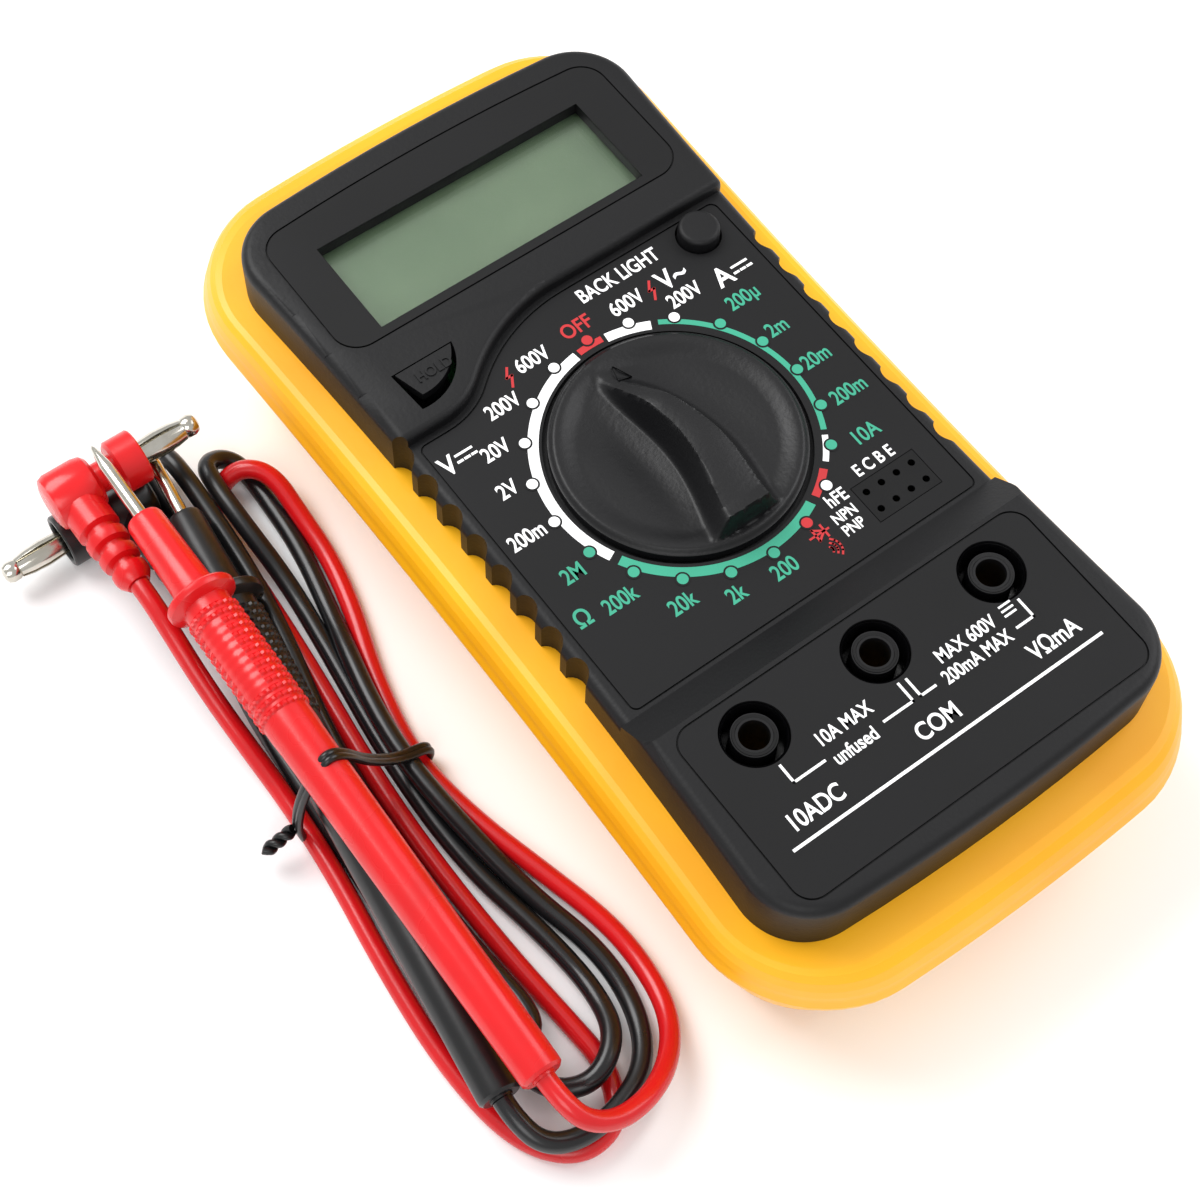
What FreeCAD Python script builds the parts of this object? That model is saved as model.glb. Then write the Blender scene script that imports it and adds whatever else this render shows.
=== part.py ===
import FreeCAD, Part
import math
import os
import sys

import Sketcher

Vector = FreeCAD.Vector

# A pocket digital multimeter in its rubber boot, lying on its back, with a folded pair of test leads
# beside it. Millimetres. +X is right, +Y runs towards the display end, +Z is up from the surface that
# the boot lies on. The origin is at the bottom centre of the boot.

DRIVING_SIZES = [
    ("case_length", 126.8, "black case over its arched ends"),
    ("case_width", 64.2, "black case between the corners of its outline"),
    ("case_waist", 2.1, "how far each side draws in at the middle"),
    ("case_rise", 1.6, "how far each end arches out"),
    ("case_corner", 9.0, "plan radius of the case's corners"),
    ("case_wall", 2.0, "moulded wall"),
    ("deck_round", 1.6, "rounding along the top edge"),
    ("parting_height", 15.0, "joint between the two case halves, above the table"),
    ("boot_back", 4.0, "rubber under the case"),
    ("boot_side", 5.6, "rubber beside the case"),
    ("boot_top_end", 10.6, "rubber past the display end"),
    ("boot_bottom_end", 8.6, "rubber past the jack end"),
    ("boot_height", 25.4, "crest of the boot above the table"),
    ("boot_waist", 1.3, "how far each side of the boot draws in"),
    ("boot_rise", 2.0, "how far each end of the boot arches out"),
    ("boot_corner", 18.0, "plan radius of the boot's corners"),
    ("boot_under_round", 6.0, "rounding under the boot"),
    ("boot_lean", 4.4, "how far the boot's wall leans in at its foot"),
    ("boot_lean_height", 19.0, "height that the boot's wall leans in from"),
    ("boot_crest_round", 3.4, "rounding outside the crest"),
    ("boot_lip_round", 1.5, "rounding inside the crest"),
    ("boot_fit", 0.1, "gap between the boot and the case"),
    ("display_step", 2.0, "display panel above the dial panel"),
    ("step_round", 1.0, "rounding along the step's edge"),
    ("jack_step", 3.5, "jack panel above the dial panel"),
    ("slope_length", 5.0, "length of the ramp up to the jack panel"),
    ("label_thickness", 0.35, "printed panel labels"),
    ("label_gap", 0.25, "groove round each label"),
    ("dial_shift", 0.5, "dial centre from the middle of the case"),
    ("knob_radius", 17.1, "rim of the dial knob"),
    ("knob_gap", 0.7, "gap round the knob"),
    ("knob_sink", 1.0, "depth of the recess under the knob"),
    ("knob_lift", 0.2, "gap under the knob"),
    ("knob_rim", 1.4, "rim of the knob above the dial panel"),
    ("knob_ridge", 6.0, "top of the grip ridge above the dial panel"),
    ("hub_radius", 7.0, "hub of the knob"),
    ("hub_fit", 0.05, "running gap round the hub"),
    ("key_square", 8.0, "square drive below the hub"),
    ("detent_count", 20, "positions of the range switch"),
    ("detent_radius", 17.1, "inner radius of the notched ring"),
    ("detent_notch", 0.9, "radius of each notch"),
    ("detent_wall", 1.5, "wall of the notched ring"),
    ("carrier_radius", 16.3, "contact carrier"),
    ("carrier_gap", 0.2, "gap over the contact carrier"),
    ("carrier_height", 2.9, "thickness of the contact carrier"),
    ("ball_radius", 1.1, "detent balls"),
    ("ball_clearance", 0.3, "gap from a ball to the ridges of the ring"),
    ("board_thickness", 1.6, "circuit board"),
    ("board_gap", 0.6, "gap round the circuit board"),
    ("switch_room", 3.6, "room between the board and the dial panel"),
    ("battery_length", 46.4, "nine volt battery without its terminals"),
    ("battery_width", 26.5, "nine volt battery"),
    ("battery_thickness", 17.5, "nine volt battery"),
    ("battery_fit", 0.2, "gap round the battery"),
    ("battery_roof", 0.4, "gap over the battery"),
    ("opening_width", 43.4, "display opening"),
    ("opening_length", 15.5, "display opening"),
    ("opening_margin", 18.65, "display opening's centre from the end of the case"),
    ("window_thickness", 1.0, "clear window"),
    ("window_lap", 1.8, "how far the window laps under the opening"),
    ("glass_width", 50.0, "liquid crystal glass"),
    ("glass_length", 22.6, "liquid crystal glass"),
    ("glass_thickness", 1.8, "liquid crystal glass"),
    ("light_thickness", 1.6, "light guide behind the glass"),
    ("jack_pitch", 19.0, "spacing of the input jacks"),
    ("jack_margin", 24.5, "jack row from the end of the case"),
    ("jack_bore", 2.0, "bore radius for a four millimetre plug"),
    ("sleeve_wall", 0.45, "wall of the jack sleeves"),
    ("sleeve_length", 12.9, "length of the jack sleeves"),
    ("well_radius", 4.45, "round well for a shrouded plug"),
    ("well_wall", 1.2, "wall and floor of the wells"),
    ("post_radius", 2.95, "plastic post round each sleeve"),
    ("post_lip", 1.2, "plastic over each sleeve"),
    ("socket_pitch", 2.54, "transistor socket holes along the row"),
    ("socket_row", 3.0, "transistor socket, row to row"),
    ("socket_x", 19.15, "transistor socket centre from the dial centre"),
    ("socket_y", -21.45, "transistor socket centre from the dial centre"),
    ("socket_width", 10.3, "transistor socket block"),
    ("socket_length", 6.0, "transistor socket block"),
    ("button_radius", 2.95, "round backlight button"),
    ("button_gap", 0.3, "gap round the button"),
    ("button_rise", 2.0, "button above the dial panel"),
    ("button_x", 22.8, "backlight button from the dial centre"),
    ("button_y", 25.1, "backlight button from the dial centre"),
    ("tongue_x", -20.3, "hold key centre from the dial centre"),
    ("tongue_y", 26.6, "hold key switch from the dial centre"),
    ("tongue_root", 29.3, "hold key root line from the dial centre"),
    ("tongue_thickness", 1.4, "hold key"),
    ("tongue_gap", 0.2, "gap at the root of the hold key"),
    ("tact_size", 6.0, "side of a tact switch"),
    ("tact_height", 1.5, "body of a tact switch"),
    ("screw_post_x", 24.2, "case screws from the middle line"),
    ("screw_post_y", 14.5, "upper case screws from the dial centre"),
    ("screw_margin", 9.4, "lower case screws from the end of the case"),
    ("screw_radius", 1.25, "shank of a case screw"),
    ("flute_pitch", 5.43, "spacing of the grip flutes"),
    ("flute_radius", 2.2, "radius of a grip flute"),
    ("flute_depth", 1.3, "depth of a grip flute"),
    ("flute_count", 8, "grip flutes on each side"),
    ("flute_first", -18.5, "lowest flute from the dial centre"),
    ("stand_width", 34.0, "tilt stand"),
    ("stand_length", 72.0, "tilt stand from its pin to its free end"),
    ("stand_thickness", 2.5, "plate of the tilt stand"),
    ("stand_gap", 0.6, "gap round the tilt stand"),
    ("stand_pin_radius", 1.0, "hinge pin of the tilt stand"),
    ("stand_pin_fit", 0.06, "running gap round the hinge pin"),
    ("stand_barrel", 1.7, "radius of the stand's hinge barrel"),
    ("stand_pin_grip", 4.5, "pin held in the boot on each side"),
    ("stand_top", 44.0, "hinge pin from the middle of the case"),
    ("lead_thickness", 2.8, "test lead over its insulation"),
    ("hank_height", 4.2, "folded leads, one and a half layers high"),
    ("probe_length", 93.0, "probe handle from nose to tail"),
    ("probe_tail", 2.95, "radius of the handle at its tail"),
    ("probe_grip", 4.0, "radius of the handle's ribbed grip"),
    ("probe_nose", 2.6, "radius of the handle at its nose"),
    ("probe_flange", 4.6, "radius of the finger guard"),
    ("needle_length", 13.6, "bare needle"),
    ("needle_radius", 1.0, "needle"),
    ("plug_pin_radius", 1.95, "plug pin"),
    ("plug_pin_reach", 9.2, "plug pin past its shroud"),
    ("plug_shroud", 3.95, "radius of the shroud round the plug pin"),
    ("plug_shroud_length", 4.1, "shroud round the plug pin"),
    ("plug_floor", 1.2, "floor of the shroud"),
    ("plug_neck", 2.2, "radius of the plug's neck"),
    ("plug_neck_length", 3.0, "neck between the block and the shroud"),
    ("plug_block", 4.2, "radius of the plug's block"),
    ("plug_block_length", 7.2, "plug's block"),
]

doc = FreeCAD.newDocument("multimeter")
sheet = doc.addObject("Spreadsheet::Sheet", "Sizes")


class Size:
    """A length that knows both its value and the sheet formula that it comes from."""

    def __init__(self, value, formula):
        self.value = value
        self.formula = formula

    def joined(self, other, sign, value, swapped=False):
        other = as_size(other)
        first, second = (other, self) if swapped else (self, other)
        return Size(value, f"({first.formula} {sign} {second.formula})")

    def __add__(self, other):
        return self.joined(other, "+", self.value + number(other))

    def __radd__(self, other):
        return self.joined(other, "+", number(other) + self.value, True)

    def __sub__(self, other):
        return self.joined(other, "-", self.value - number(other))

    def __rsub__(self, other):
        return self.joined(other, "-", number(other) - self.value, True)

    def __mul__(self, other):
        return self.joined(other, "*", self.value * number(other))

    def __rmul__(self, other):
        return self.joined(other, "*", number(other) * self.value, True)

    def __truediv__(self, other):
        return self.joined(other, "/", self.value / number(other))

    def __rtruediv__(self, other):
        return self.joined(other, "/", number(other) / self.value, True)

    def __neg__(self):
        return 0 - self


def as_size(value):
    """A plain number as a Size."""
    return value if isinstance(value, Size) else Size(float(value), f"({float(value):g})")


def number(value):
    """The plain number of a Size or of a number."""
    return value.value if isinstance(value, Size) else float(value)


class Sizes:
    """The driving sizes, one attribute for each row of the sheet."""

    def __init__(self, rows):
        for row, (name, value, note) in enumerate(rows, 1):
            sheet.set(f"A{row}", name)
            sheet.set(f"B{row}", str(value))
            sheet.set(f"C{row}", note)
            sheet.setAlias(f"B{row}", name)
            setattr(self, name, Size(float(value), f"Sizes.{name}"))


S = Sizes(DRIVING_SIZES)
doc.recompute()

PIECES = []

# ---------------------------------------------------------------- building blocks

UP = FreeCAD.Rotation()
ALONG_X = FreeCAD.Rotation(Vector(0, 1, 0), 90)
ALONG_MINUS_X = FreeCAD.Rotation(Vector(0, 1, 0), -90)
ALONG_Y = FreeCAD.Rotation(Vector(1, 0, 0), -90)
ALONG_MINUS_Y = FreeCAD.Rotation(Vector(1, 0, 0), 90)


def bind(thing, name, size):
    """Ties one property to the sheet."""
    thing.setExpression(name, as_size(size).formula)


def place(thing, spot, rotation=UP):
    """Puts a feature at a spot whose coordinates are tied to the sheet."""
    values = Vector(*(number(size) for size in spot))
    thing.Placement = FreeCAD.Placement(values, rotation)
    for axis, size in zip("xyz", spot):
        if isinstance(size, Size):
            bind(thing, f"Placement.Base.{axis}", size)
    return thing


def block(name, low, span):
    """A box from its lowest corner and its three lengths."""
    thing = doc.addObject("Part::Box", name)
    for side, size in zip(("Length", "Width", "Height"), span):
        bind(thing, side, size)
    return place(thing, low)


def centred_block(name, middle, low, span):
    """A box centred on middle in X and Y that starts at height low."""
    corner = (middle[0] - as_size(span[0]) / 2, middle[1] - as_size(span[1]) / 2, low)
    return block(name, corner, span)


def rod(name, spot, radius, length, rotation=UP):
    """A cylinder that starts at spot and runs along the turned Z axis."""
    thing = doc.addObject("Part::Cylinder", name)
    bind(thing, "Radius", radius)
    bind(thing, "Height", length)
    return place(thing, spot, rotation)


def cone(name, spot, first_radius, last_radius, length, rotation=UP):
    """A truncated cone that starts at spot."""
    thing = doc.addObject("Part::Cone", name)
    bind(thing, "Radius1", first_radius)
    bind(thing, "Radius2", last_radius)
    bind(thing, "Height", length)
    return place(thing, spot, rotation)


def fuse(name, things):
    """Several overlapping features as one."""
    if len(things) == 1:
        return things[0]
    thing = doc.addObject("Part::MultiFuse", name)
    thing.Shapes = things
    return thing


def cut(name, base, tools):
    """A feature with tools taken away."""
    thing = doc.addObject("Part::Cut", name)
    thing.Base = base
    thing.Tool = fuse(name + "_tools", tools)
    return thing


def group(name, things):
    """Separate solids that share one node."""
    thing = doc.addObject("Part::Compound", name)
    thing.Links = things
    return thing


def rounded(name, base, radius, test):
    """A Part fillet on the edges of base that test picks."""
    doc.recompute()
    thing = doc.addObject("Part::Fillet", name)
    thing.Base = base
    picked = [i for i, edge in enumerate(base.Shape.Edges, 1) if test(edge)]
    thing.Edges = [(i, number(radius), number(radius)) for i in picked]
    return thing


def piece(thing, label):
    """Names a finished sub-part."""
    thing.Label = label
    PIECES.append(thing)
    return thing


# ---------------------------------------------------------------- sketches and bodies


class Corner:
    """A corner of an outline. bend is the radius of the edge that follows it, 0 for a straight edge,
    above 0 for an edge that turns left and below 0 for one that turns right."""

    def __init__(self, x, y, bend=0):
        self.x = as_size(x)
        self.y = as_size(y)
        self.bend = as_size(bend)

    def point(self):
        return Vector(self.x.value, self.y.value, 0)


def arc_middle(start, end, bend):
    """The middle point of an arc from start to end, with the radius and side that bend gives."""
    chord = end - start
    left = Vector(-chord.y, chord.x, 0).normalize()
    reach = math.sqrt(bend * bend - chord.Length**2 / 4)
    side = 1 if bend > 0 else -1
    return (start + end) * 0.5 + left * (side * (reach - abs(bend)))


def new_body(name):
    return doc.addObject("PartDesign::Body", name)


def origin_item(body, role):
    """One of the body's own origin planes or axes."""
    return next(item for item in body.Origin.OriginFeatures if item.Role == role)


def new_sketch(body, name, plane="XY_Plane", height=0, shift=(0, 0)):
    """An empty sketch on a plane of the body, lifted by height and moved within its plane."""
    sketch = body.newObject("Sketcher::SketchObject", name)
    sketch.AttachmentSupport = [(origin_item(body, plane), "")]
    sketch.MapMode = "FlatFace"
    for axis, size in zip("xyz", (shift[0], shift[1], height)):
        if isinstance(size, Size):
            sketch.setExpression(f"AttachmentOffset.Base.{axis}", size.formula)
    doc.recompute()
    return sketch


def dimension(sketch, constraint, size):
    """Adds one dimension and ties it to the sheet."""
    place_in_list = sketch.addConstraint(constraint)
    sketch.setExpression(f"Constraints[{place_in_list}]", size.formula)


def pin_point(sketch, edge, end, corner_x, corner_y):
    """Fixes one point of the sketch by its two coordinates."""
    for kind, size, axis in (("DistanceX", corner_x, -2), ("DistanceY", corner_y, -1)):
        if abs(size.value) < 1e-9:
            sketch.addConstraint(Sketcher.Constraint("PointOnObject", edge, end, axis))
        else:
            dimension(sketch, Sketcher.Constraint(kind, -1, 1, edge, end, size.value), size)


def draw_outline(sketch, corners):
    """Draws a closed outline of straight and round edges through the corners."""
    spans = list(zip(corners, corners[1:] + corners[:1]))
    edges = []
    for corner, following in spans:
        start, end, bend = corner.point(), following.point(), corner.bend.value
        if bend == 0:
            edge = sketch.addGeometry(Part.LineSegment(start, end), False)
            edges.append((edge, 1, 2))
            continue
        middle = arc_middle(start, end, bend)
        if bend > 0:
            edge = sketch.addGeometry(Part.Arc(start, middle, end), False)
            edges.append((edge, 1, 2))
        else:
            edge = sketch.addGeometry(Part.Arc(end, middle, start), False)
            edges.append((edge, 2, 1))
    for (edge, _, last), (following, first, _) in zip(edges, edges[1:] + edges[:1]):
        sketch.addConstraint(Sketcher.Constraint("Coincident", edge, last, following, first))
    for (edge, first, _), corner in zip(edges, corners):
        pin_point(sketch, edge, first, corner.x, corner.y)
        if corner.bend.value:
            size = corner.bend if corner.bend.value > 0 else -corner.bend
            dimension(sketch, Sketcher.Constraint("Radius", edge, size.value), size)


def draw_circle(sketch, x, y, radius):
    """Draws one circle."""
    x, y, radius = as_size(x), as_size(y), as_size(radius)
    circle = Part.Circle(Vector(x.value, y.value, 0), Vector(0, 0, 1), radius.value)
    edge = sketch.addGeometry(circle, False)
    pin_point(sketch, edge, 3, x, y)
    dimension(sketch, Sketcher.Constraint("Radius", edge, radius.value), radius)


def pad(body, name, sketch, length, backwards=False):
    """Thickens a sketch into the body."""
    feature = body.newObject("PartDesign::Pad", name)
    feature.Profile = sketch
    bind(feature, "Length", length)
    feature.Reversed = backwards
    doc.recompute()
    return feature


def pocket(body, name, sketch, length, upwards=True, midplane=False):
    """Cuts a sketch out of the body, and makes sure that it did cut."""
    before = body.Shape.Volume
    feature = body.newObject("PartDesign::Pocket", name)
    feature.Profile = sketch
    bind(feature, "Length", length)
    feature.Reversed = upwards
    feature.Midplane = midplane
    doc.recompute()
    if feature.Shape.Volume > before - 1e-3:
        sys.exit(f"{name} cuts nothing")
    return feature


def revolve(body, name, sketch, axis_role):
    """Turns a sketch once round an axis of the body."""
    feature = body.newObject("PartDesign::Revolution", name)
    feature.Profile = sketch
    feature.ReferenceAxis = (origin_item(body, axis_role), [""])
    feature.Angle = 360
    doc.recompute()
    return feature


def edge_names(feature, test):
    """Names of the edges that a test picks."""
    return [f"Edge{i}" for i, edge in enumerate(feature.Shape.Edges, 1) if test(edge)]


def soften(body, name, feature, radius, test):
    """A PartDesign fillet on the edges of feature that test picks."""
    rounding = body.newObject("PartDesign::Fillet", name)
    rounding.Base = (feature, edge_names(feature, test))
    bind(rounding, "Radius", radius)
    doc.recompute()
    return rounding


def lean(body, name, feature, inward, height, test):
    """A PartDesign chamfer that leans a wall inward below a height."""
    slope = body.newObject("PartDesign::Chamfer", name)
    slope.Base = (feature, edge_names(feature, test))
    slope.ChamferType = "Two distances"
    bind(slope, "Size", inward)
    bind(slope, "Size2", height)
    doc.recompute()
    foot = [face for face in slope.Shape.Faces if face.BoundBox.ZMax < 1e-3]
    if foot[0].BoundBox.XLength < feature.Shape.BoundBox.XLength - 3 * number(inward):
        slope.FlipDirection = True
        doc.recompute()
    return slope


def is_upright(edge):
    """Whether an edge stands along Z."""
    box = edge.BoundBox
    return box.ZLength > 0.2 and box.XLength < 1e-4 and box.YLength < 1e-4


def lies_at(height):
    """A test for edges that lie level at one height."""
    level = number(height)

    def test(edge):
        box = edge.BoundBox
        return abs(box.ZMin - level) < 1e-4 and abs(box.ZMax - level) < 1e-4

    return test


# ---------------------------------------------------------------- levels and stations

FULL_TURN = 360
case_middle = (S.boot_bottom_end - S.boot_top_end) / 2
case_top = case_middle + S.case_length / 2
case_bottom = case_middle - S.case_length / 2
dial_y = case_middle + S.dial_shift
display_y = case_top - S.opening_margin
jack_y = case_bottom + S.jack_margin
slope_top = jack_y + 6.4
slope_bottom = slope_top + S.slope_length

floor_height = S.boot_back + S.case_wall
battery_height = floor_height + S.battery_fit
board_height = battery_height + S.battery_thickness + S.battery_roof
board_top = board_height + S.board_thickness
roof_height = board_top + S.switch_room
dial_height = roof_height + S.case_wall
display_height = dial_height + S.display_step
jack_height = dial_height + S.jack_step

half_width = S.case_width / 2
waist_half = half_width - S.case_waist
inner_half = waist_half - S.case_wall
label_half = waist_half - S.deck_round - 0.4


def bow_radius(half_span, rise):
    """Radius of a shallow arc from half its chord and its rise."""
    return (half_span * half_span) / (2 * rise) + rise / 2


def arched_outline(half, low, high, rise, waist):
    """A rectangle with arched ends and drawn-in sides."""
    end_bend = bow_radius(half, rise)
    side_bend = bow_radius((high - low) / 2 - rise, waist)
    return [
        Corner(half, low + rise, -side_bend),
        Corner(half, high - rise, end_bend),
        Corner(-half, high - rise, -side_bend),
        Corner(-half, low + rise, end_bend),
    ]


def case_outline(inset):
    """Plan of the case, drawn in by inset all round."""
    return arched_outline(
        half_width - inset,
        case_bottom + inset,
        case_top - inset,
        S.case_rise,
        S.case_waist,
    )


def prism(name, corners, low, height, corner_round=None):
    """A body with an outline pulled straight up, and its upright edges rounded."""
    body = new_body(name)
    sketch = new_sketch(body, name + "_plan", height=low)
    draw_outline(sketch, corners)
    doc.recompute()
    feature = pad(body, name + "_pad", sketch, height)
    if corner_round is not None:
        feature = soften(body, name + "_corners", feature, corner_round, is_upright)
    return body, feature


def rectangle(low_x, low_y, high_x, high_y):
    """Corners of a rectangle."""
    return [
        Corner(low_x, low_y),
        Corner(high_x, low_y),
        Corner(high_x, high_y),
        Corner(low_x, high_y),
    ]


# The step between the display panel and the dial panel is a flat run, two opposite arcs and another
# flat run. Its two arc centres stay put when the line is moved by an offset.
STEP_LEFT_X = -23.0
STEP_RIGHT_X = 2.0
step_low = dial_y + 20.1
step_high = dial_y + 29.4
STEP_LOW_RADIUS = 11.0
STEP_HIGH_RADIUS = 27.25


def step_corners(left_x, right_x, offset):
    """Corners along the step line from right to left, moved towards the dial by offset."""
    low_radius = as_size(STEP_LOW_RADIUS) + offset
    high_radius = as_size(STEP_HIGH_RADIUS) - offset
    share = low_radius / (low_radius + high_radius)
    low = step_low - offset
    high = step_high - offset
    middle_x = STEP_LEFT_X + (STEP_RIGHT_X - STEP_LEFT_X) * share
    middle_y = low + (high - low) * share
    return [
        Corner(right_x, high),
        Corner(STEP_RIGHT_X, high, high_radius),
        Corner(middle_x, middle_y, -low_radius),
        Corner(STEP_LEFT_X, low),
        Corner(left_x, low),
    ]


# ---------------------------------------------------------------- the boot and its tilt stand

boot_half = half_width + S.boot_side
boot_low = case_bottom - S.boot_bottom_end
boot_high = case_top + S.boot_top_end
stand_pin_y = case_middle + S.stand_top
stand_pin_height = S.boot_back / 2
stand_half = S.stand_width / 2
WIDE = 60


def make_boot():
    corners = arched_outline(boot_half, boot_low, boot_high, S.boot_rise, S.boot_waist)
    body, feature = prism("boot", corners, as_size(0), S.boot_height, S.boot_corner)
    feature = lean(body, "boot_lean", feature, S.boot_lean, S.boot_lean_height, lies_at(0))
    feature = soften(body, "boot_under", feature, S.boot_under_round, lies_at(0))
    feature = soften(body, "boot_crest", feature, S.boot_crest_round, lies_at(S.boot_height))
    cavity, _ = prism(
        "boot_cavity",
        case_outline(-S.boot_fit),
        S.boot_back,
        S.boot_height,
        S.case_corner + S.boot_fit,
    )
    window_low = stand_pin_y - S.stand_length - S.stand_gap
    window_high = stand_pin_y + S.stand_barrel + S.stand_gap
    window = block(
        "stand_window",
        (-stand_half - S.stand_gap, window_low, -1),
        (S.stand_width + 2 * S.stand_gap, window_high - window_low, S.boot_back + 2),
    )
    pin_hole = rod(
        "stand_pin_hole",
        (-stand_half - S.stand_gap - S.stand_pin_grip, stand_pin_y, stand_pin_height),
        S.stand_pin_radius,
        S.stand_width + 2 * S.stand_gap + 2 * S.stand_pin_grip,
        ALONG_X,
    )
    hollow = cut("boot_hollow", body, [cavity, window, pin_hole])
    level = lies_at(S.boot_height)

    def on_lip(edge):
        return level(edge) and edge.Length > 3

    doc.recompute()
    inner = [edge for edge in hollow.Shape.Edges if on_lip(edge)]
    if len(inner) < 8:
        sys.exit(f"the boot's lip has only {len(inner)} edges")
    lip = rounded("boot_lip", hollow, S.boot_lip_round, on_lip)
    piece(lip, "protective_boot")


def make_tilt_stand():
    low_y = stand_pin_y - S.stand_length
    plate = block(
        "stand_plate",
        (-stand_half, low_y, stand_pin_height - S.stand_thickness / 2),
        (S.stand_width, S.stand_length, S.stand_thickness),
    )
    barrel = rod(
        "stand_barrel_rod",
        (-stand_half, stand_pin_y, stand_pin_height),
        S.stand_barrel,
        S.stand_width,
        ALONG_X,
    )
    slots = []
    for number_of_rib in range(3):
        start = low_y + 5 + 4 * number_of_rib
        slots.append(
            block(
                f"stand_grip_{number_of_rib}",
                (-stand_half + 9, start, stand_pin_height - S.stand_thickness / 2 - 1),
                (S.stand_width - 18, 1.6, 1.5),
            )
        )
    hole = rod(
        "stand_bore",
        (-stand_half - 1, stand_pin_y, stand_pin_height),
        S.stand_pin_radius + S.stand_pin_fit,
        S.stand_width + 2,
        ALONG_X,
    )
    solid = cut("stand_solid", fuse("stand_whole", [plate, barrel]), slots + [hole])
    low = number(low_y)

    def free_corner(edge):
        return is_upright(edge) and edge.BoundBox.YMin < low + 0.1

    piece(rounded("stand_rounded", solid, 6, free_corner), "tilt_stand")
    pin_length = S.stand_width + 2 * S.stand_gap + 2 * S.stand_pin_grip
    pin = rod(
        "stand_hinge_pin",
        (-pin_length / 2, stand_pin_y, stand_pin_height),
        S.stand_pin_radius,
        pin_length,
        ALONG_X,
    )
    piece(pin, "stand_pin")


# ---------------------------------------------------------------- the case halves

case_screw_spots = [
    (S.screw_post_x, dial_y + S.screw_post_y),
    (-S.screw_post_x, dial_y + S.screw_post_y),
    (S.screw_post_x, case_bottom + S.screw_margin),
    (-S.screw_post_x, case_bottom + S.screw_margin),
]
board_screw_spots = [
    (as_size(12), dial_y + 25.5),
    (as_size(-12), dial_y + 25.5),
    (as_size(9.5), case_bottom + 7.4),
    (as_size(-9.5), case_bottom + 7.4),
]
battery_y = dial_y - 20.2
battery_low_y = battery_y - S.battery_width / 2
battery_high_y = battery_y + S.battery_width / 2
POST_JOIN = 12.0
buzzer_y = dial_y + 36
BUZZER_RADIUS = 10.0


def make_rear_case():
    body, feature = prism(
        "rear_shell",
        case_outline(0),
        S.boot_back,
        S.parting_height - S.boot_back,
        S.case_corner,
    )
    soften(body, "rear_edge", feature, S.deck_round, lies_at(S.boot_back))
    cavity, _ = prism(
        "rear_cavity",
        case_outline(S.case_wall),
        floor_height,
        S.parting_height,
        S.case_corner - S.case_wall,
    )
    hollow = cut("rear_hollow", body, [cavity])
    added = [hollow]
    removed = []
    for spot, (x, y) in enumerate(case_screw_spots):
        added.append(rod(f"rear_post_{spot}", (x, y, S.boot_back + 1), 3.4, POST_JOIN - S.boot_back - 1))
        removed.append(rod(f"rear_bore_{spot}", (x, y, 0), S.screw_radius + 0.15, 20))
        removed.append(rod(f"rear_head_room_{spot}", (x, y, 0), 2.6, S.boot_back + 3))
    rib_span = 2 * inner_half - 1
    for name, y in (
        ("low", battery_low_y - S.battery_fit - 1.2),
        ("high", battery_high_y + S.battery_fit),
    ):
        added.append(block(f"battery_rib_{name}", (-rib_span / 2, y, floor_height - 1), (rib_span, 1.2, 9)))
    added.append(rod("buzzer_seat", (0, buzzer_y, floor_height - 1), BUZZER_RADIUS + 0.2, 3))
    removed.append(rod("buzzer_well", (0, buzzer_y, floor_height), BUZZER_RADIUS - 1, 5))
    for hole in range(5):
        angle = 2 * math.pi * hole / 5
        x = as_size(4.5 * math.cos(angle))
        y = buzzer_y + 4.5 * math.sin(angle)
        removed.append(rod(f"sound_hole_{hole}", (x, y, 0), 0.8, 12))
    piece(cut("rear_finished", fuse("rear_filled", added), removed), "rear_case")


def level_block(name, top, region, soft_edge=None):
    """A full-plan block up to one level with a rounded top edge, with a region cut away."""
    body, feature = prism(
        name, case_outline(0), S.parting_height, top - S.parting_height, S.case_corner
    )
    feature = soften(body, name + "_edge", feature, S.deck_round, lies_at(top))
    if region is not None:
        sketch = new_sketch(body, name + "_region", height=S.parting_height)
        draw_outline(sketch, region)
        doc.recompute()
        feature = pocket(body, name + "_cut", sketch, as_size(60))
        if soft_edge is not None:
            reach = number(half_width) - number(S.case_waist) - number(S.deck_round) - 1

            def on_step(edge):
                box = edge.BoundBox
                level = lies_at(top)(edge)
                return level and box.YMax < number(step_high) + 1 and box.XMax < reach + 9

            soften(body, name + "_step", feature, soft_edge, on_step)
    return body


def make_notched_ring():
    """The notched ring that hangs under the dial panel, as a body round its own centre."""
    ring_low = board_top + 0.4
    body = new_body("notched_ring")
    sketch = new_sketch(body, "ring_plan", height=ring_low)
    draw_circle(sketch, 0, 0, S.detent_radius + S.detent_wall)
    draw_circle(sketch, 0, 0, S.detent_radius)
    doc.recompute()
    pad(body, "ring_pad", sketch, roof_height - ring_low + 0.5)
    notch_sketch = new_sketch(body, "notch_plan", height=ring_low)
    draw_circle(notch_sketch, 0, S.detent_radius, S.detent_notch)
    doc.recompute()
    notch = pocket(body, "notch", notch_sketch, as_size(10))
    pattern = body.newObject("PartDesign::PolarPattern", "notches")
    pattern.Originals = [notch]
    pattern.Axis = (origin_item(body, "Z_Axis"), [""])
    pattern.Angle = FULL_TURN
    bind(pattern, "Occurrences", S.detent_count)
    body.Tip = pattern
    doc.recompute()
    return place(body, (0, dial_y, 0))


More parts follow.
